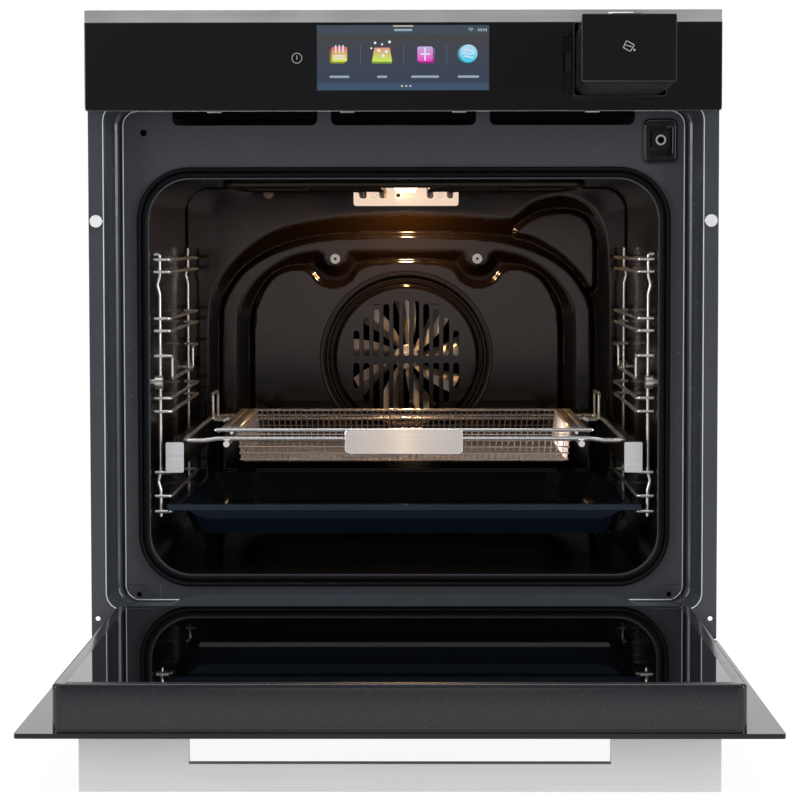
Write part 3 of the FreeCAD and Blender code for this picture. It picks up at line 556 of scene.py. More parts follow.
# The stamped panel's contours, as (x, z) in millimetres.
CENTRE_PLATEAU = [
    (0, 356.3), (17, 356.2), (39, 353.8), (53, 348), (60.5, 337.5), (72, 330.3), (86, 329.6),
    (97.5, 335), (106.5, 345.4), (117, 348.9), (135, 346.5), (150, 337), (162.5, 316), (168.5, 290),
    (168.7, 200), (168.5, 110), (163, 90), (148, 80), (80, 79), (0, 79),
]
MIDDLE_INNER = [
    (0, 369), (40, 369), (60, 368.9), (65.5, 366.5), (67.5, 360), (72, 354.5), (79, 352.4), (86, 354.5),
    (90.5, 360), (92.5, 366.5), (98, 368.9), (108, 368), (132.4, 361.3), (160.3, 342.7), (181, 315),
    (187, 288), (187.2, 200), (187, 105), (180, 82), (160, 68), (80, 66), (0, 66),
]
MIDDLE_OUTER = [
    (0, 384.3), (54, 383.7), (105, 379.2), (148, 366), (176, 349), (192, 330), (201, 312), (204, 288),
    (204.5, 200), (204.5, 60), (204.5, -60), (100, -70), (0, -70),
]
CHANNEL_OUTER = [
    (0, 409.2), (45, 408), (85, 405.4), (110, 404.6), (122, 409.5), (141, 423), (158, 428.5),
    (178, 429), (198, 421), (212, 406), (220, 385), (223.5, 350), (225, 280), (225, 100), (225, -80),
    (0, -90), (-225, -80), (-221, 100), (-219, 200), (-218, 290), (-211, 330), (-185, 364.5),
    (-148, 390.5), (-105, 402), (-50, 408),
]
CORNER_ISLAND = [
    (122, 389.5), (137, 402.5), (156, 409.5), (184, 410), (199.5, 402), (206.5, 385), (208, 350),
    (205, 327), (194, 342), (176, 361), (158, 374), (140, 384),
]


def panel_relief(x, z):
    """How deep the stamped panel lies behind its flat front, in millimetres."""
    centre, inner, outer = (inside_by(mirrored(half), x, z)
                            for half in (CENTRE_PLATEAU, MIDDLE_INNER, MIDDLE_OUTER))
    channel, island = (inside_by(smooth_loop(loop), x, z) for loop in (CHANNEL_OUTER, CORNER_ISLAND))
    deep = groove(inner, -centre, 0.42, 5.0, 4.0)
    wide = groove(channel, np.minimum(-outer, -island), 0.36, 7.0, 5.0)
    return deep + wide


def fan_point(radius, angle, depth):
    """A place given by its radius and angle about the fan's axis."""
    return radius * math.cos(angle) * MM, back(depth), (FAN_Z + radius * math.sin(angle)) * MM


def turned(profile, count):
    """A surface of revolution about the fan's axis through (radius, depth) points."""
    verts = [fan_point(r, 2 * math.pi * i / count, d) for r, d in profile for i in range(count)]
    return verts, ring_faces(len(profile), count)


def stamping():
    """The pressed sheet round the fan's opening, with painted shade (a darker, duller enamel) on the floors
    of its grooves.
    """
    step = 2.0
    opening = 94.5
    xs = np.arange(-PANEL_HALF, PANEL_HALF + 0.01, step)
    zs = np.arange(PANEL_LOW + 0.5, PANEL_HIGH + 0.01, step)
    gx, gz = np.meshgrid(xs, zs)
    relief = panel_relief(gx, gz)
    steep = np.hypot(*np.gradient(relief, step))
    # the groove floors, which get the painted shade
    floor = (relief > 0.25) & (steep < 0.6)
    verts = np.stack([gx * MM, FRONT + (PANEL_DEPTH + relief) * MM, gz * MM], -1).reshape(-1, 3)
    cols = len(xs)
    outline = np.array(rounded_outline(-PANEL_HALF, PANEL_HALF, PANEL_LOW, PANEL_HIGH, 26))
    inside = inside_by(outline, gx, gz) > -1.5
    radius = np.hypot(gx, gz - FAN_Z)
    faces, finish = [], []
    for r in range(len(zs) - 1):
        for c in range(cols - 1):
            kept = inside[r, c] and inside[r + 1, c + 1]
            if kept and not (radius[r:r + 2, c:c + 2] < opening).all():
                i = r * cols + c
                faces.append((i, i + 1, i + cols + 1, i + cols))
                finish.append(int(floor[r:r + 2, c:c + 2].all()))
    used = sorted({i for face in faces for i in face})
    place = {old: new for new, old in enumerate(used)}
    faces = [tuple(place[i] for i in face) for face in faces]
    sheet = piece("fan_panel_stamping", verts[used], faces, "cavity_enamel", angle=80)
    sheet.data.materials.append(M["groove_enamel"])
    sheet.data.polygons.foreach_set("material_index", finish)
    thicken(sheet, 1.2)
    return sheet


def fan_panel():
    sheet = stamping()
    profile = [(98.0, 0.5), (96.5, 0.02), (94.0, -0.08), (91.0, 0.0), (89.8, 0.5), (88.8, 1.7), (87.2, 2.3),
               (85.6, 1.9), (84.4, 1.0), (83.2, 0.9), (82.0, 1.9), (81.0, 2.2), (80.0, 1.6), (79.0, 0.5),
               (78.0, 0.05), (76.0, 0.0), (71.0, 0.0)]
    skin = turned([(r, PANEL_DEPTH + d) for r, d in profile], 144)
    piece("fan_panel_ring", *skin, "cavity_enamel", angle=80)
    outlines = [circle_outline(0.0, FAN_Z, 71.2, 96)]
    for k in range(-5, 6):
        x = SLOT_PITCH * k
        reach = math.sqrt(65.8 ** 2 - (1.04 * x) ** 2)
        for low, high in ((3.6, reach), (-reach, -3.6)):
            outlines.append(rounded_outline(x - SLOT_HALF, x + SLOT_HALF, SLOT_Z + low, SLOT_Z + high,
                                            3.35, 4))
    plate("fan_panel_grille", outlines, PANEL_DEPTH + 0.6, 1.2, "cavity_enamel", bevel=0.3)
    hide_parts("rear_fan_panel")


# ---- Basket ----
def basket_wires():
    """The woven wires of the basket's floor and walls, which lean in towards the floor."""
    top, low = 196.2, 165.6
    pitch, wire = 6, 0.55
    front_top, front_low, rear_top, rear_low = 60.5, 63.5, 367.5, 361.0
    side_top, side_low = 161.0, 157.6
    squeeze = side_low / side_top
    wires = []
    for i in range(53):
        x = -156 + pitch * i
        wires.append(bent([(x, front_top, top), (x * squeeze, front_low, low),
                           (x * squeeze, rear_low, low), (x, rear_top, top)], 3, 2))
    over = low + 0.9
    for i in range(50):
        d = 66 + pitch * i
        wires.append(bent([(-side_top, d, top), (-side_low, d, over), (side_low, d, over),
                           (side_top, d, top)], 3, 2))
    parts = [sweep(points, wire, 6) for points in wires]
    for i in range(5):
        t = (i + 0.6) / 5
        side = side_top + (side_low - side_top) * t + 0.9
        near = front_top + (front_low - front_top) * t - 0.9
        far = rear_top + (rear_low - rear_top) * t + 0.9
        z = top + (low - top) * t
        corners = [(-side, near, z), (side, near, z), (side, far, z), (-side, far, z)]
        parts.append(sweep(corners, wire, 6, True))
    return gather(parts)


def basket():
    mesh = piece("basket_mesh", *basket_wires(), "basket_steel", "basket")
    fold = [(160.4, 194.5), (161.2, 196.9), (163.5, 197.5), (169.0, 197.5), (170.2, 196.6),
            (171.6, 196.6), (172.8, 197.5), (177.6, 197.5), (179.0, 196.6), (179.2, 194.4)]
    verts, faces = [], []
    for side in (-1, 1):
        base = len(verts)
        for x, z in fold:
            verts += [(side * x * MM, back(56), z * MM), (side * x * MM, back(372), z * MM)]
        for i in range(len(fold) - 1):
            a = base + 2 * i
            faces.append((a, a + 2, a + 3, a + 1))
    flanges = piece("basket_flanges", verts, faces, "basket_steel", "basket", "basket_sheet")
    thicken(flanges, 0.8)
    front = [(-182, 53.2, 196.6), (-181.5, 53.0, 197.4), (181.5, 53.0, 197.4), (182, 53.2, 196.6)]
    rods = [sweep(bent(front, 1), 1.7, 12)]
    for side in (-1, 1):
        rods.append(sweep([(side * 167, 58, 194.3), (side * 167, 379, 194.3)], 1.6, 12))
        corner = [(side * 181, 53, 197.4), (side * 181, 60, 197), (side * 178.5, 66, 196.2)]
        rods.append(sweep(bent(corner, 3), 1.5, 10))
    rods.append(sweep([(-178, 371, 196.6), (178, 371, 196.6)], 1.7, 12))
    rods.append(sweep([(-161.5, 59.5, 195.8), (161.5, 59.5, 195.8)], 1.1, 10))
    piece("basket_rods", *gather(rods), "basket_steel", "basket", "chrome_wire")
    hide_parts("airfry_basket")


# ---- Gasket and mouth of the cavity ----
MOUTH_HALF, MOUTH_LOW, MOUTH_HIGH, MOUTH_CORNER = 243.0, 60.0, 438.5, 39.0


def mouth_skin(profile):
    """A skin round the oven's mouth; each entry is (distance out from it, depth)."""
    verts = []
    for out, depth in profile:
        half = MOUTH_HALF + out
        outline = rounded_outline(-half, half, MOUTH_LOW - out, MOUTH_HIGH + out, MOUTH_CORNER + out, 14)
        verts += [(x * MM, back(depth), z * MM) for x, z in outline]
    return verts, ring_faces(len(profile), len(verts) // len(profile))


def mouth():
    """The seal's round lip and the enamelled edge inside it."""
    seal = [(11.4, 30.0), (11.5, 27.6), (11.0, 26.0), (9.9, 25.1), (8.6, 25.4), (7.7, 26.5), (7.2, 28.0),
            (6.9, 30.4)]
    lip = [(7.6, 30.2), (7.0, 29.0), (5.6, 28.3), (3.8, 28.2), (2.0, 28.9), (0.8, 30.6), (0.2, 33.4),
           (0.05, 38.0)]
    rubber = piece("gasket_lip", *mouth_skin(seal), "black_rubber", angle=80)
    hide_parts("door_gasket")
    piece("mouth_lip", *mouth_skin(lip), "cavity_enamel", look="lip_enamel", angle=80)


# ---- Display and symbols ----
def screen_light(name, top, low=None, z0=0.0, z1=1.0):
    """Adds a lit area's finish, even or fading from one colour to another up its height."""
    mat, tree, shader = new_material(name)
    height = place_between(tree, axis_of(tree, "Z"), z0 * MM, z1 * MM)
    tone = ramp(tree, height, [(0.0, low or top), (1.0, top)])
    set_all(shader, Base_Color=(0.002, 0.002, 0.002, 1), Roughness=0.2, Emission_Color=tone,
            Emission_Strength=1.0)
    M[name] = mat
    return name


def srgb(r, g, b, less=0.0):
    """Screen colour as light, less what the glass already reflects."""
    out = []
    for c in (r, g, b):
        v = c / 255
        v = v / 12.92 if v <= 0.04045 else ((v + 0.055) / 1.055) ** 2.4
        out.append(max(0.0, v - less))
    return tuple(out)


GLASS_FACE = -18.0
PRINT = 0.04  # thickness of a printed or lit layer
GAP = 0.03  # how far the first layer's middle stands off the glass


def screen_layer(name, outlines, layer, look, slot="display_plastic"):
    plate(name, outlines, GLASS_FACE - GAP - PRINT * layer, PRINT, slot, look=look)


def bar_outline(x, z, wide, high):
    radius = min(wide, high) * 0.45
    return rounded_outline(x - wide / 2, x + wide / 2, z - high / 2, z + high / 2, radius, 3)


def stroke(points, wide):
    """The outline of a thick line through points."""
    pts = [Vector(p) for p in points]
    left, right = [], []
    for i, p in enumerate(pts):
        a = pts[max(i - 1, 0)]
        b = pts[min(i + 1, len(pts) - 1)]
        along = (b - a).normalized()
        side = Vector((-along.y, along.x)) * wide / 2
        left.append(tuple(p + side))
        right.append(tuple(p - side))
    return left + right[::-1]


TILES = (-59.3, -19.5, 20.6, 61.0)  # x of the four icons
ICON_Z, LABEL_Z, PAGE_Z, STATUS_Z = 554.0, 532.6, 524.0, 575.9


def screen_bars():
    """The screen's background: a middle between a top bar and a low bar."""
    low, high, half, reflected = 520.0, 580.4, 80.3, 0.008
    split_low, split_high = low + 7, high - 7.8
    fade = (srgb(70, 70, 74, reflected), srgb(58, 66, 84, reflected), 535, 570)
    for name, z0, z1, radius, steps, look in (
            ("screen_middle", split_low, split_high, 0.2, 1, fade),
            ("screen_top_bar", split_high, high, 0.4, 2, (srgb(66, 76, 88, reflected),)),
            ("screen_low_bar", low, split_low, 0.4, 2, (srgb(62, 80, 104, reflected),))):
        outline = rounded_outline(-half, half, z0, z1, radius, steps)
        screen_layer(name, [outline], 0, screen_light(name, *look))


def icons():
    """Four tiles of plain shapes, each with a shade behind it."""
    colours = ((srgb(214, 104, 118), srgb(222, 226, 86)), (srgb(222, 140, 120), srgb(196, 232, 92)),
               (srgb(190, 170, 222), srgb(232, 60, 190)), (srgb(170, 214, 236), srgb(60, 200, 232)))
    low, high = ICON_Z - 7, ICON_Z + 6
    for n, (x, (top, bottom)) in enumerate(zip(TILES, colours)):
        fade = screen_light(f"icon_{n}", top, bottom, low, high)
        shade = screen_light(f"icon_shade_{n}", scaled(top, 0.35), scaled(bottom, 0.35), low, high)
        if n == 3:
            outline = circle_outline(x, ICON_Z, 8.4, 32)
            behind = circle_outline(x - 2, ICON_Z - 0.4, 8.4, 32)
        elif n == 1:
            foot, brim = ICON_Z - 7.4, ICON_Z + 5.6
            outline = [(x - 9.4, foot), (x + 9.4, foot), (x + 7.2, brim), (x - 7.2, brim)]
            behind = [(px, pz - 1.8) for px, pz in outline]
        else:
            outline = rounded_outline(x - 7.2, x + 7.2, ICON_Z - 7.4, ICON_Z + 6.6, 1.8, 4)
            behind = [(px + (1.8 if n == 2 else -1.8), pz - 1.6) for px, pz in outline]
        screen_layer(f"icon_shade_{n}", [behind], 1, shade)
        screen_layer(f"icon_{n}", [outline], 2, fade)


def icon_marks():
    """White marks on the tiles and two of the page dots."""
    candles, bowl, cross, waves = TILES
    marks = []
    for k in (-1, 0, 1):
        x = candles + 3.4 * k
        marks.append(stroke([(x, ICON_Z + 1), (x, ICON_Z + 8.0)], 1.1))
    for z in (ICON_Z - 2.0, ICON_Z - 4.4):
        marks.append(bar_outline(candles, z, 11, 1.2))
    for dx, dz, r in ((-6.5, 10, 1.2), (7, 10.8, 1.3), (0, 8.6, 1.0), (-10, 5, 0.9), (4, 2, 1.5),
                      (-3, 3, 1.5), (1, -2, 1.5)):
        marks.append(circle_outline(bowl + dx, ICON_Z + dz, r, 14))
    for dz, wide, high in ((-0.4, 8.6, 1.3), (3.1, 1.3, 5.4), (-3.9, 1.3, 5.4)):
        marks.append(bar_outline(cross, ICON_Z + dz, wide, high))
    for k, wide in ((1, 9), (0, 12), (-1, 9)):
        start, mid = waves - wide / 2, ICON_Z + 3 * k
        marks.append(stroke([(start + 4.5 * t, mid + 0.7 * math.sin(3 * t))
                             for t in np.linspace(0, wide / 4.5, 9)], 0.9))
    for x in (3.0, 6.9):
        marks.append(circle_outline(x, PAGE_Z, 0.75, 12))
    return marks


def display():
    screen_bars()
    white = screen_light("screen_white", srgb(225, 235, 245))
    soft = screen_light("screen_label", srgb(150, 165, 182))
    icons()
    screen_layer("screen_marks", icon_marks(), 3, white)
    labels = [bar_outline(x, LABEL_Z, wide, 2.1) for x, wide in zip(TILES, (18.5, 9.5, 26, 20))]
    labels.append(bar_outline(0.2, STATUS_Z, 17, 2.0))
    labels += [bar_outline(70.6 + 2.3 * k, STATUS_Z, 1.5, 2.8) for k in range(4)]
    screen_layer("screen_labels", labels, 1, soft)
    arcs = []
    for r in (1.2, 2.3, 3.4):
        turns = np.linspace(-0.8, 0.8, 7)
        arcs.append(stroke([(63.4 + r * math.sin(a), 574.2 + r * math.cos(a)) for a in turns], 0.6))
    screen_layer("screen_signal", arcs, 1, soft)
    tab = screen_light("screen_tab", srgb(196, 186, 172))
    screen_layer("screen_pull_tab", [bar_outline(0.2, 579.6, 19, 1.2)], 1, tab)
    dot = screen_light("screen_page", srgb(230, 226, 120))
    screen_layer("screen_page", [circle_outline(-1.0, PAGE_Z, 0.85, 12)], 1, dot)
    lines = [stroke([(x, 544), (x, 562)], 0.7) for x in (-39.6, 0.6, 40.8)]
    screen_layer("screen_dividers", lines, 1, screen_light("screen_divider", srgb(74, 92, 118)))
    button_x, button_z = -99, 550
    ring = [circle_outline(button_x, button_z, radius, 40) for radius in (4.9, 4.3)]
    screen_layer("power_ring", ring, 0, "white_print", "black_glass")
    screen_layer("power_mark", [bar_outline(button_x, button_z + 0.4, 0.7, 4.0)], 0, "white_print",
                 "black_glass")


TANK_OUT = 110.0  # how far the tank stands out at rest


def tank_symbol():
    """A tipped cup with a drop, printed on the tank's cover."""
    cup = [(-3.6, -2.6), (-4.0, 4.2), (4.0, 4.2), (3.6, -2.6), (-3.6, -2.6)]
    tip = Matrix.Rotation(math.radians(-28), 2)
    x, z = 201.5, 552.0

    def drawn(points, wide):
        moved = [tip @ Vector(p) for p in points]
        return stroke([(x + p.x, z + p.y) for p in moved], wide)

    strokes = [drawn(side, 0.75) for side in zip(cup, cup[1:])]
    strokes.append(drawn([(-3.7, 0.4), (3.7, 1.8)], 0.7))
    strokes.append(circle_outline(x + 5.6, z - 2.6, 1.0, 12))
    for n, outline in enumerate(strokes):
        plate(f"tank_symbol_{n}", [outline], GLASS_FACE - GAP - TANK_OUT, PRINT, "black_glass", "tank",
              "white_print")


# ---- Small fittings ----
def clips():
    """Bright spring clips that show under the fascia's lower edge."""
    for n, x in enumerate((-177.0, -52.5, 52.5, 177.0)):
        clip = slab(x - 6.6, x + 6.6, -15.0, -2.8, 499.9, 500.8)
        round_edges(piece(f"fascia_clip_{n}", *clip, "bright_steel"), 0.35, 2)


def soften(node, width):
    """Small rounded edges on a carried-over CAD node."""
    edge = round_edges(NODES[node], width, 2)
    edge.limit_method = "ANGLE"
    edge.angle_limit = math.radians(40)
    edge.harden_normals = True


# ---- Fan ----
BLADES, STATIONS = 9, 9
BLADE_ROOT, BLADE_LONG, BLADE_THICK = 11, 52, 1.2


def blade(start):
    """One broad tilted blade: a front and a back point at three places across each station."""
    verts = []
    for k in range(STATIONS):
        out = BLADE_LONG * k / (STATIONS - 1)
        lean = start + 0.004 * out
        half = math.radians(13.5 - 0.06 * out)
        for edge, depth in ((-half, 447.6), (0.1 * half, 449.5), (half, 457.5)):
            for thick in (0, BLADE_THICK):
                verts.append(fan_point(BLADE_ROOT + out, lean + edge, depth + thick))
    faces = []
    for k in range(STATIONS - 1):
        a, b = 6 * k, 6 * (k + 1)
        for i in (0, 2):
            faces.append((a + i, a + i + 2, b + i + 2, b + i))
            faces.append((a + i + 1, b + i + 1, b + i + 3, a + i + 3))
        faces.append((a, b, b + 1, a + 1))
        faces.append((a + 4, a + 5, b + 5, b + 4))
    tip = 6 * (STATIONS - 1)
    faces += [(0, 1, 3, 2), (2, 3, 5, 4)]
    faces += [(tip, tip + 2, tip + 3, tip + 1), (tip + 2, tip + 4, tip + 5, tip + 3)]
    return verts, faces


def fan():
    """A wheel of broad tilted blades round a hub, before a disc of painted shade."""
    blades = gather([blade(2 * math.pi * n / BLADES) for n in range(BLADES)])
    wheel = piece("fan_blades", *blades, "fan_alloy", "convection_fan", angle=30)
    hub = [(0.01, 444.4), (5.2, 444.4), (6.0, 445.0), (6.0, 447.0), (12.5, 447.4), (13.5, 448.4),
           (13.5, 462.0), (0.01, 462.0)]
    piece("fan_hub", *turned(hub, 40), "fan_alloy", "convection_fan", angle=30)
    disc = [(66.0, 462.4), (0.01, 462.4), (0.01, 463.4), (66.0, 463.4), (66.0, 462.4)]
    piece("fan_disc", *turned(disc, 48), "fan_alloy", "convection_fan", "shadow", angle=30)
    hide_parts("convection_fan")


# ---- Frame details ----
def frame_beads():
    """Painted highlights on the frame's pressed radii where they catch the light, two dim and two bright,
    and on its pads' rims.
    """
    loops = [(283.0, 29.5, 509.0, 16.0, 0.35, 0.55), (271.8, 34.2, 504.3, 15.0, 31.3, 0.7),
             (275.2, 32.9, 505.6, 15.5, 27.2, 0.55), (267.4, 35.3, 503.2, 14.0, 30.2, 0.6)]
    parts = [bead(rounded_outline(-half, half, z0, z1, corner, 6), depth, wire, 8)
             for half, z0, z1, corner, depth, wire in loops]
    piece("frame_radii", *gather(parts[1:3]), "frame_enamel", look="bead_dim")
    piece("frame_bright_radii", *gather([parts[0], parts[3]]), "frame_enamel", look="bead_enamel")
    pads = []
    for side in (-1, 1):
        pads.append(bead(rounded_outline(side * 250 - 16, side * 250 + 16, 36.5, 50.5, 3, 4), 30.0, 0.45))
        pads.append(bead(circle_outline(side * 291, 21.3, 4.6, 28), -0.1, 0.3))
    piece("frame_pads", *gather(pads), "frame_enamel", look="bead_dim")


def shadow_plates():
    """Painted shade: black plates at the frame's vent slots and behind small holes in it."""
    for n, (x0, x1) in enumerate(((-220, -82), (-69, 69), (82, 220))):
        outline = [(x0, 495.5), (x1, 495.5), (x1, 506.5), (x0, 506.5)]
        plate(f"vent_top_{n}", [outline], 29.86, 0.2, "black_plastic", look="shadow")
    for n, hole in enumerate(((-247.6, 482.6, 4.2), (-254.5, 40.5, 3.4), (254.5, 40.5, 3.4))):
        plate(f"hole_back_{n}", [circle_outline(*hole)], 31.75, 0.3, "black_plastic", look="shadow")


def bracket_details():
    """Slots for the grill's loops, stamped rings and a hole in the front of the heater's bracket; the rings
    glow with painted lamp light.
    """
    front, proud, ring_z = 417.8, 0.3, 429.5

    def mark(name, outlines, look):
        plate(name, outlines, front, proud, "bright_steel", look=look)

    slots = [rounded_outline(x - 2.9, x + 2.9, 426.0, 437.6, 2.8, 6) for x in (-46.1, -24.1, 27.0, 48.7)]
    mark("bracket_slots", slots, "heater_tube")
    rings = []
    for x, outer, inner, count in ((-34.8, 2.8, 2.3, 24), (16.3, 2.8, 2.3, 24), (37.5, 2.8, 2.3, 24),
                                   (-8.8, 3.6, 3.0, 28)):
        rings += [circle_outline(x, ring_z, radius, count) for radius in (outer, inner)]
    mark("bracket_rings", rings, "bracket_mark")
    # painted shade: a black disc for the bracket's hole
    mark("bracket_hole", [circle_outline(-8.8, ring_z, 2.0)], "shadow")


def runner_plates():
    """The bright front faces of the telescopic runners."""
    for name, side in (("left", -1), ("right", 1)):
        x0, x1 = sorted((side * 212.7, side * 229.8))
        plate(f"runner_plate_{name}", [rounded_outline(x0, x1, 156.7, 185.8, 1.5, 4)], 46.3, 0.4,
              "bright_steel", "shelf", bevel=0.15)


def screw_sockets():
    """The rims of the fan panel's two screws, and their star-shaped sockets as plates of painted shade."""
    height = 360
    for n, x in enumerate((-78.5, 78.5)):
        rim = [circle_outline(x, height, radius, 28) for radius in (5.2, 4.3)]
        plate(f"screw_rim_{n}", rim, 437.1, 0.4, "steel_screw")
        star = []
        for k in range(12):
            reach, turn = (1.9 if k % 2 else 1.2), math.pi * k / 6
            star.append((x + reach * math.cos(turn), height + reach * math.sin(turn)))
        plate(f"screw_socket_{n}", [star], 437.0, 0.3, "steel_screw", look="shadow")


# ---- Tray, tank and door details ----
def tray_front():
    """Painted light high on the tray's front wall and on the underside next to it: faint glowing sheets
    over the enamel.
    """
    strip = slab(-202, 202, 78, 104, 94.85, 94.95)
    piece("tray_underside", *strip, "tray_enamel", "tray", "slate_matt")
    outline = [(-188, 110.2), (188, 110.2), (201, 112.5), (211, 119), (-211, 119), (-201, 112.5)]
    rim_depth, rim_z, slope = 60.0, 125.5, 13 / 30.5
    verts = []
    for proud in (0.1, 0.25):
        for x, z in outline:
            verts.append((x * MM, back(rim_depth + (rim_z - z) * slope - proud), z * MM))
    corners = len(outline)
    faces = [tuple(range(corners)), tuple(range(2 * corners - 1, corners - 1, -1))]
    for first in range(corners):
        after = (first + 1) % corners
        faces.append((first, first + corners, after + corners, after))
    piece("tray_front_wall", verts, faces, "tray_enamel", "tray", "slate_wall")


def tank_tab():
    tab = slab(184, 207, -122, -108, 579.5, 583.6)
    round_edges(piece("tank_tab", *tab, "white_plastic", "tank"), 1.2, 3)


def plate_rim():
    """The folded edge round the basket's front plate."""
    inset = 0.4
    low, high = (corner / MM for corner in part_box("basket_plate"))
    outline = rounded_outline(low.x + inset, high.x - inset, low.z + inset, high.z - inset, 4.5, 6)
    rim = bead(outline, (low.y - FRONT / MM) + 0.1, 0.5, 8)
    piece("basket_plate_rim", *rim, "bright_steel", "basket", "chrome_wire")


def tub_edges():
    """A painted highlight: the thin bright line along the door tub's upper front edge."""
    line = sweep([(-262, -486.4, 38.35), (262, -486.4, 38.35)], 0.4, 8)
    piece("door_tub_edge", *line, "tub_enamel", "door", "bead_dim")


def drain_details():
    """The rims of the drain socket, and the bore inside it as a disc of painted shade."""
    rim = bead(rounded_outline(229.6, 259.3, 454.0, 494.0, 5.4, 6), 29.0, 1.5, 12)
    piece("drain_rim", *rim, "black_rubber", look="drain_black")
    inner = bead(rounded_outline(234.2, 256.6, 459.6, 490.4, 2.6, 6), 30.2, 0.7, 10)
    piece("drain_inner_rim", *inner, "black_rubber", look="drain_black")
    bore = circle_outline(245, 475.3, 3.3, 28)
    plate("drain_bore", [bore], 31.35, 0.2, "black_rubber", look="shadow")


def tank_edges():
    """Painted highlight lines on the ground glass edges round the tank's cover, the hole it leaves and the
    fascia.
    """
    for name, body, sides, corner, depth, wire in (
            ("tank_cover_edge", "tank", (160.4, 244.6, 521.7, 581.3), 1.4, -127.9, 0.32),
            ("tank_hole_edge", "oven", (159.3, 245.7, 514.5, 582.6), 3.0, -18.0, 0.3),
            ("fascia_edge", "oven", (-297.0, 297.0, 501.2, 583.0), 1.5, -17.9, 0.3)):
        line = bead(rounded_outline(*sides, corner, 4), depth, wire)
        piece(name, *line, "black_glass", body, "edge_light")


def tub_skin():
    """The door tub's rounded outside, drawn in the open position."""
    near, far, low, high = -487.5, -40.5, 1.2, 38.8
    half_wide, corner = 268.5, 9.0
    profile = ((1.6, low), (0.4, low + 0.7), (0.0, low + 2.0), (0.0, high - 3.2), (0.25, high - 1.9),
               (0.9, high - 0.75), (2.0, high - 0.05))
    verts = []
    for inset, z in profile:
        half = half_wide - inset
        outline = rounded_outline(-half, half, near + inset, far - inset, corner - inset, 8)
        verts += [(x * MM, back(d), z * MM) for x, d in outline]
    faces = ring_faces(len(profile), len(verts) // len(profile))
    thicken(piece("door_tub_skin", verts, faces, "tub_enamel", "door", angle=80), 0.3, 0)


# ---- Studio ----
def camera():
    """The photo's camera, solved from the object's corners in the picture: degrees and metres."""
    pitch, yaw, roll = (math.radians(a) for a in (3.370, -0.485, 0.071))
    look = Vector((math.sin(yaw) * math.cos(pitch), math.cos(yaw) * math.cos(pitch), -math.sin(pitch)))
    right = Vector((math.cos(yaw), -math.sin(yaw), 0))
    down = look.cross(right)
    side = right * math.cos(roll) + down * math.sin(roll)
    low = right * -math.sin(roll) + down * math.cos(roll)
    turn = Matrix((side, -low, -look)).transposed()
    data = bpy.data.cameras.new("camera")
    data.lens = 121.54
    data.clip_end = 60
    obj = bpy.data.objects.new("camera", data)
    SCENE.collection.objects.link(obj)
    obj.matrix_world = Matrix.Translation((0.01827, FRONT - 2.55108, 0.37962)) @ turn.to_4x4()
    SCENE.camera = obj


def add_light(name, kind, where, power, colour):
    data = bpy.data.lights.new(name, kind)
    data.energy = power
    data.color = colour
    obj = bpy.data.objects.new(name, data)
    SCENE.collection.objects.link(obj)
    obj.location = where
    return obj


def area_light(name, where, target, size, power, colour=(1, 1, 1)):
    """A rectangular light turned to face a place."""
    obj = add_light(name, "AREA", where, power, colour)
    obj.data.shape = "RECTANGLE"
    obj.data.size, obj.data.size_y = size
    direction = Vector(target) - Vector(where)
    obj.rotation_euler = direction.to_track_quat("-Z", "Y").to_euler()


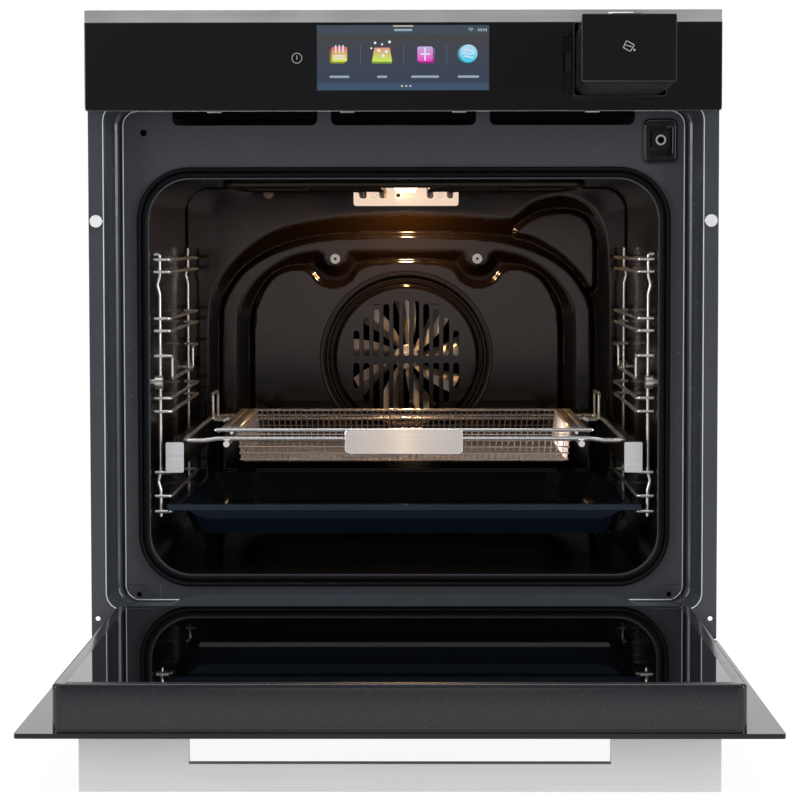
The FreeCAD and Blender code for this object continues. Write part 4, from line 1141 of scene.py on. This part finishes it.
def studio_floor():
    """A white sweep under and behind the object that fades to grey towards the camera, in metres."""
    floor_z = cad_low.z - 0.0005
    fade_start, fade_end = -1.9, -0.95
    near, far, half, bend, top = -4.0, 3.0, 6, 1.2, 5.0
    mat, tree, shader = new_material("studio_floor")
    tone = ramp(tree, noise(tree, coords(tree), 3.0), [(0.3, grey(0.10)), (0.7, grey(0.11))])
    reach = place_between(tree, axis_of(tree, "Y"), fade_start, fade_end)
    light = ramp(tree, reach, [(0.0, grey(0.45)), (1.0, grey(0.93))])
    set_all(shader, Base_Color=tone, Roughness=0.9, Emission_Color=light, Emission_Strength=1.0)
    curve = [(near, 0.0), (far, 0.0)]
    turns = np.linspace(0.1, math.pi / 2, 14)
    curve += [(far + bend * math.sin(a), bend * (1 - math.cos(a))) for a in turns]
    curve += [(far + bend, top)]
    verts = []
    for y, z in curve:
        verts += [(-half, y, floor_z + z), (half, y, floor_z + z)]
    faces = [(2 * i, 2 * i + 1, 2 * i + 3, 2 * i + 2) for i in range(len(curve) - 1)]
    mesh = bpy.data.meshes.new("studio_floor")
    mesh.from_pydata(verts, [], faces)
    mesh.shade_smooth()
    mesh.materials.append(mat)
    floor = bpy.data.objects.new("studio_floor", mesh)
    SCENE.collection.objects.link(floor)


def studio():
    studio_floor()
    world = bpy.data.worlds.new("studio")
    world.use_nodes = True
    set_all(world.node_tree.nodes["Background"], Color=(0.94, 0.97, 1.0, 1), Strength=0.20)
    SCENE.world = world
    area_light("key_left", (-2.6, -1.9, 1.2), (0, -0.2, 0.3), (0.9, 2.0), 40)
    area_light("key_right", (2.6, -1.9, 1.2), (0, -0.2, 0.3), (0.9, 2.0), 44)
    area_light("top", (0, -0.6, 2.9), (0, -0.1, 0.3), (2.4, 2.0), 44)
    area_light("front", (0, -3.6, 0.2535), (0, 0, 0.2535), (0.97, 0.357), 1.4, (1, 0.86, 0.82))
    SCENE.view_settings.view_transform = "Standard"
    SCENE.view_settings.look = "None"


def lamp():
    """The lit lamp; the grill's element and bracket close beside it are spared its glare."""
    obj = add_light("oven_lamp", "POINT", (0, back(388), 427 * MM), 1.3, (1.0, 0.60, 0.28))
    obj.data.shadow_soft_size = 0.006
    spared = bpy.data.collections.new("spared_by_lamp")
    for node in ("grill_bracket", "grill_element"):
        spared.objects.link(NODES[node])
    obj.light_linking.receiver_collection = spared
    for entry in spared.collection_objects:
        entry.light_linking.link_state = "EXCLUDE"


camera()
studio()
lamp()
fan_panel()
fan()
frame_beads()
shadow_plates()
bracket_details()
runner_plates()
screw_sockets()
tray_front()
tank_edges()
tank_tab()
drain_details()
plate_rim()
tub_edges()
tub_skin()
basket()
mouth()
display()
tank_symbol()
clips()
for name, width in (("tank_cover", 0.5), ("fascia_glass", 0.4), ("door_glass_outer", 0.8),
                    ("door_handle", 0.5), ("fascia_trim", 0.5), ("basket_plate", 0.5)):
    soften(name, width)
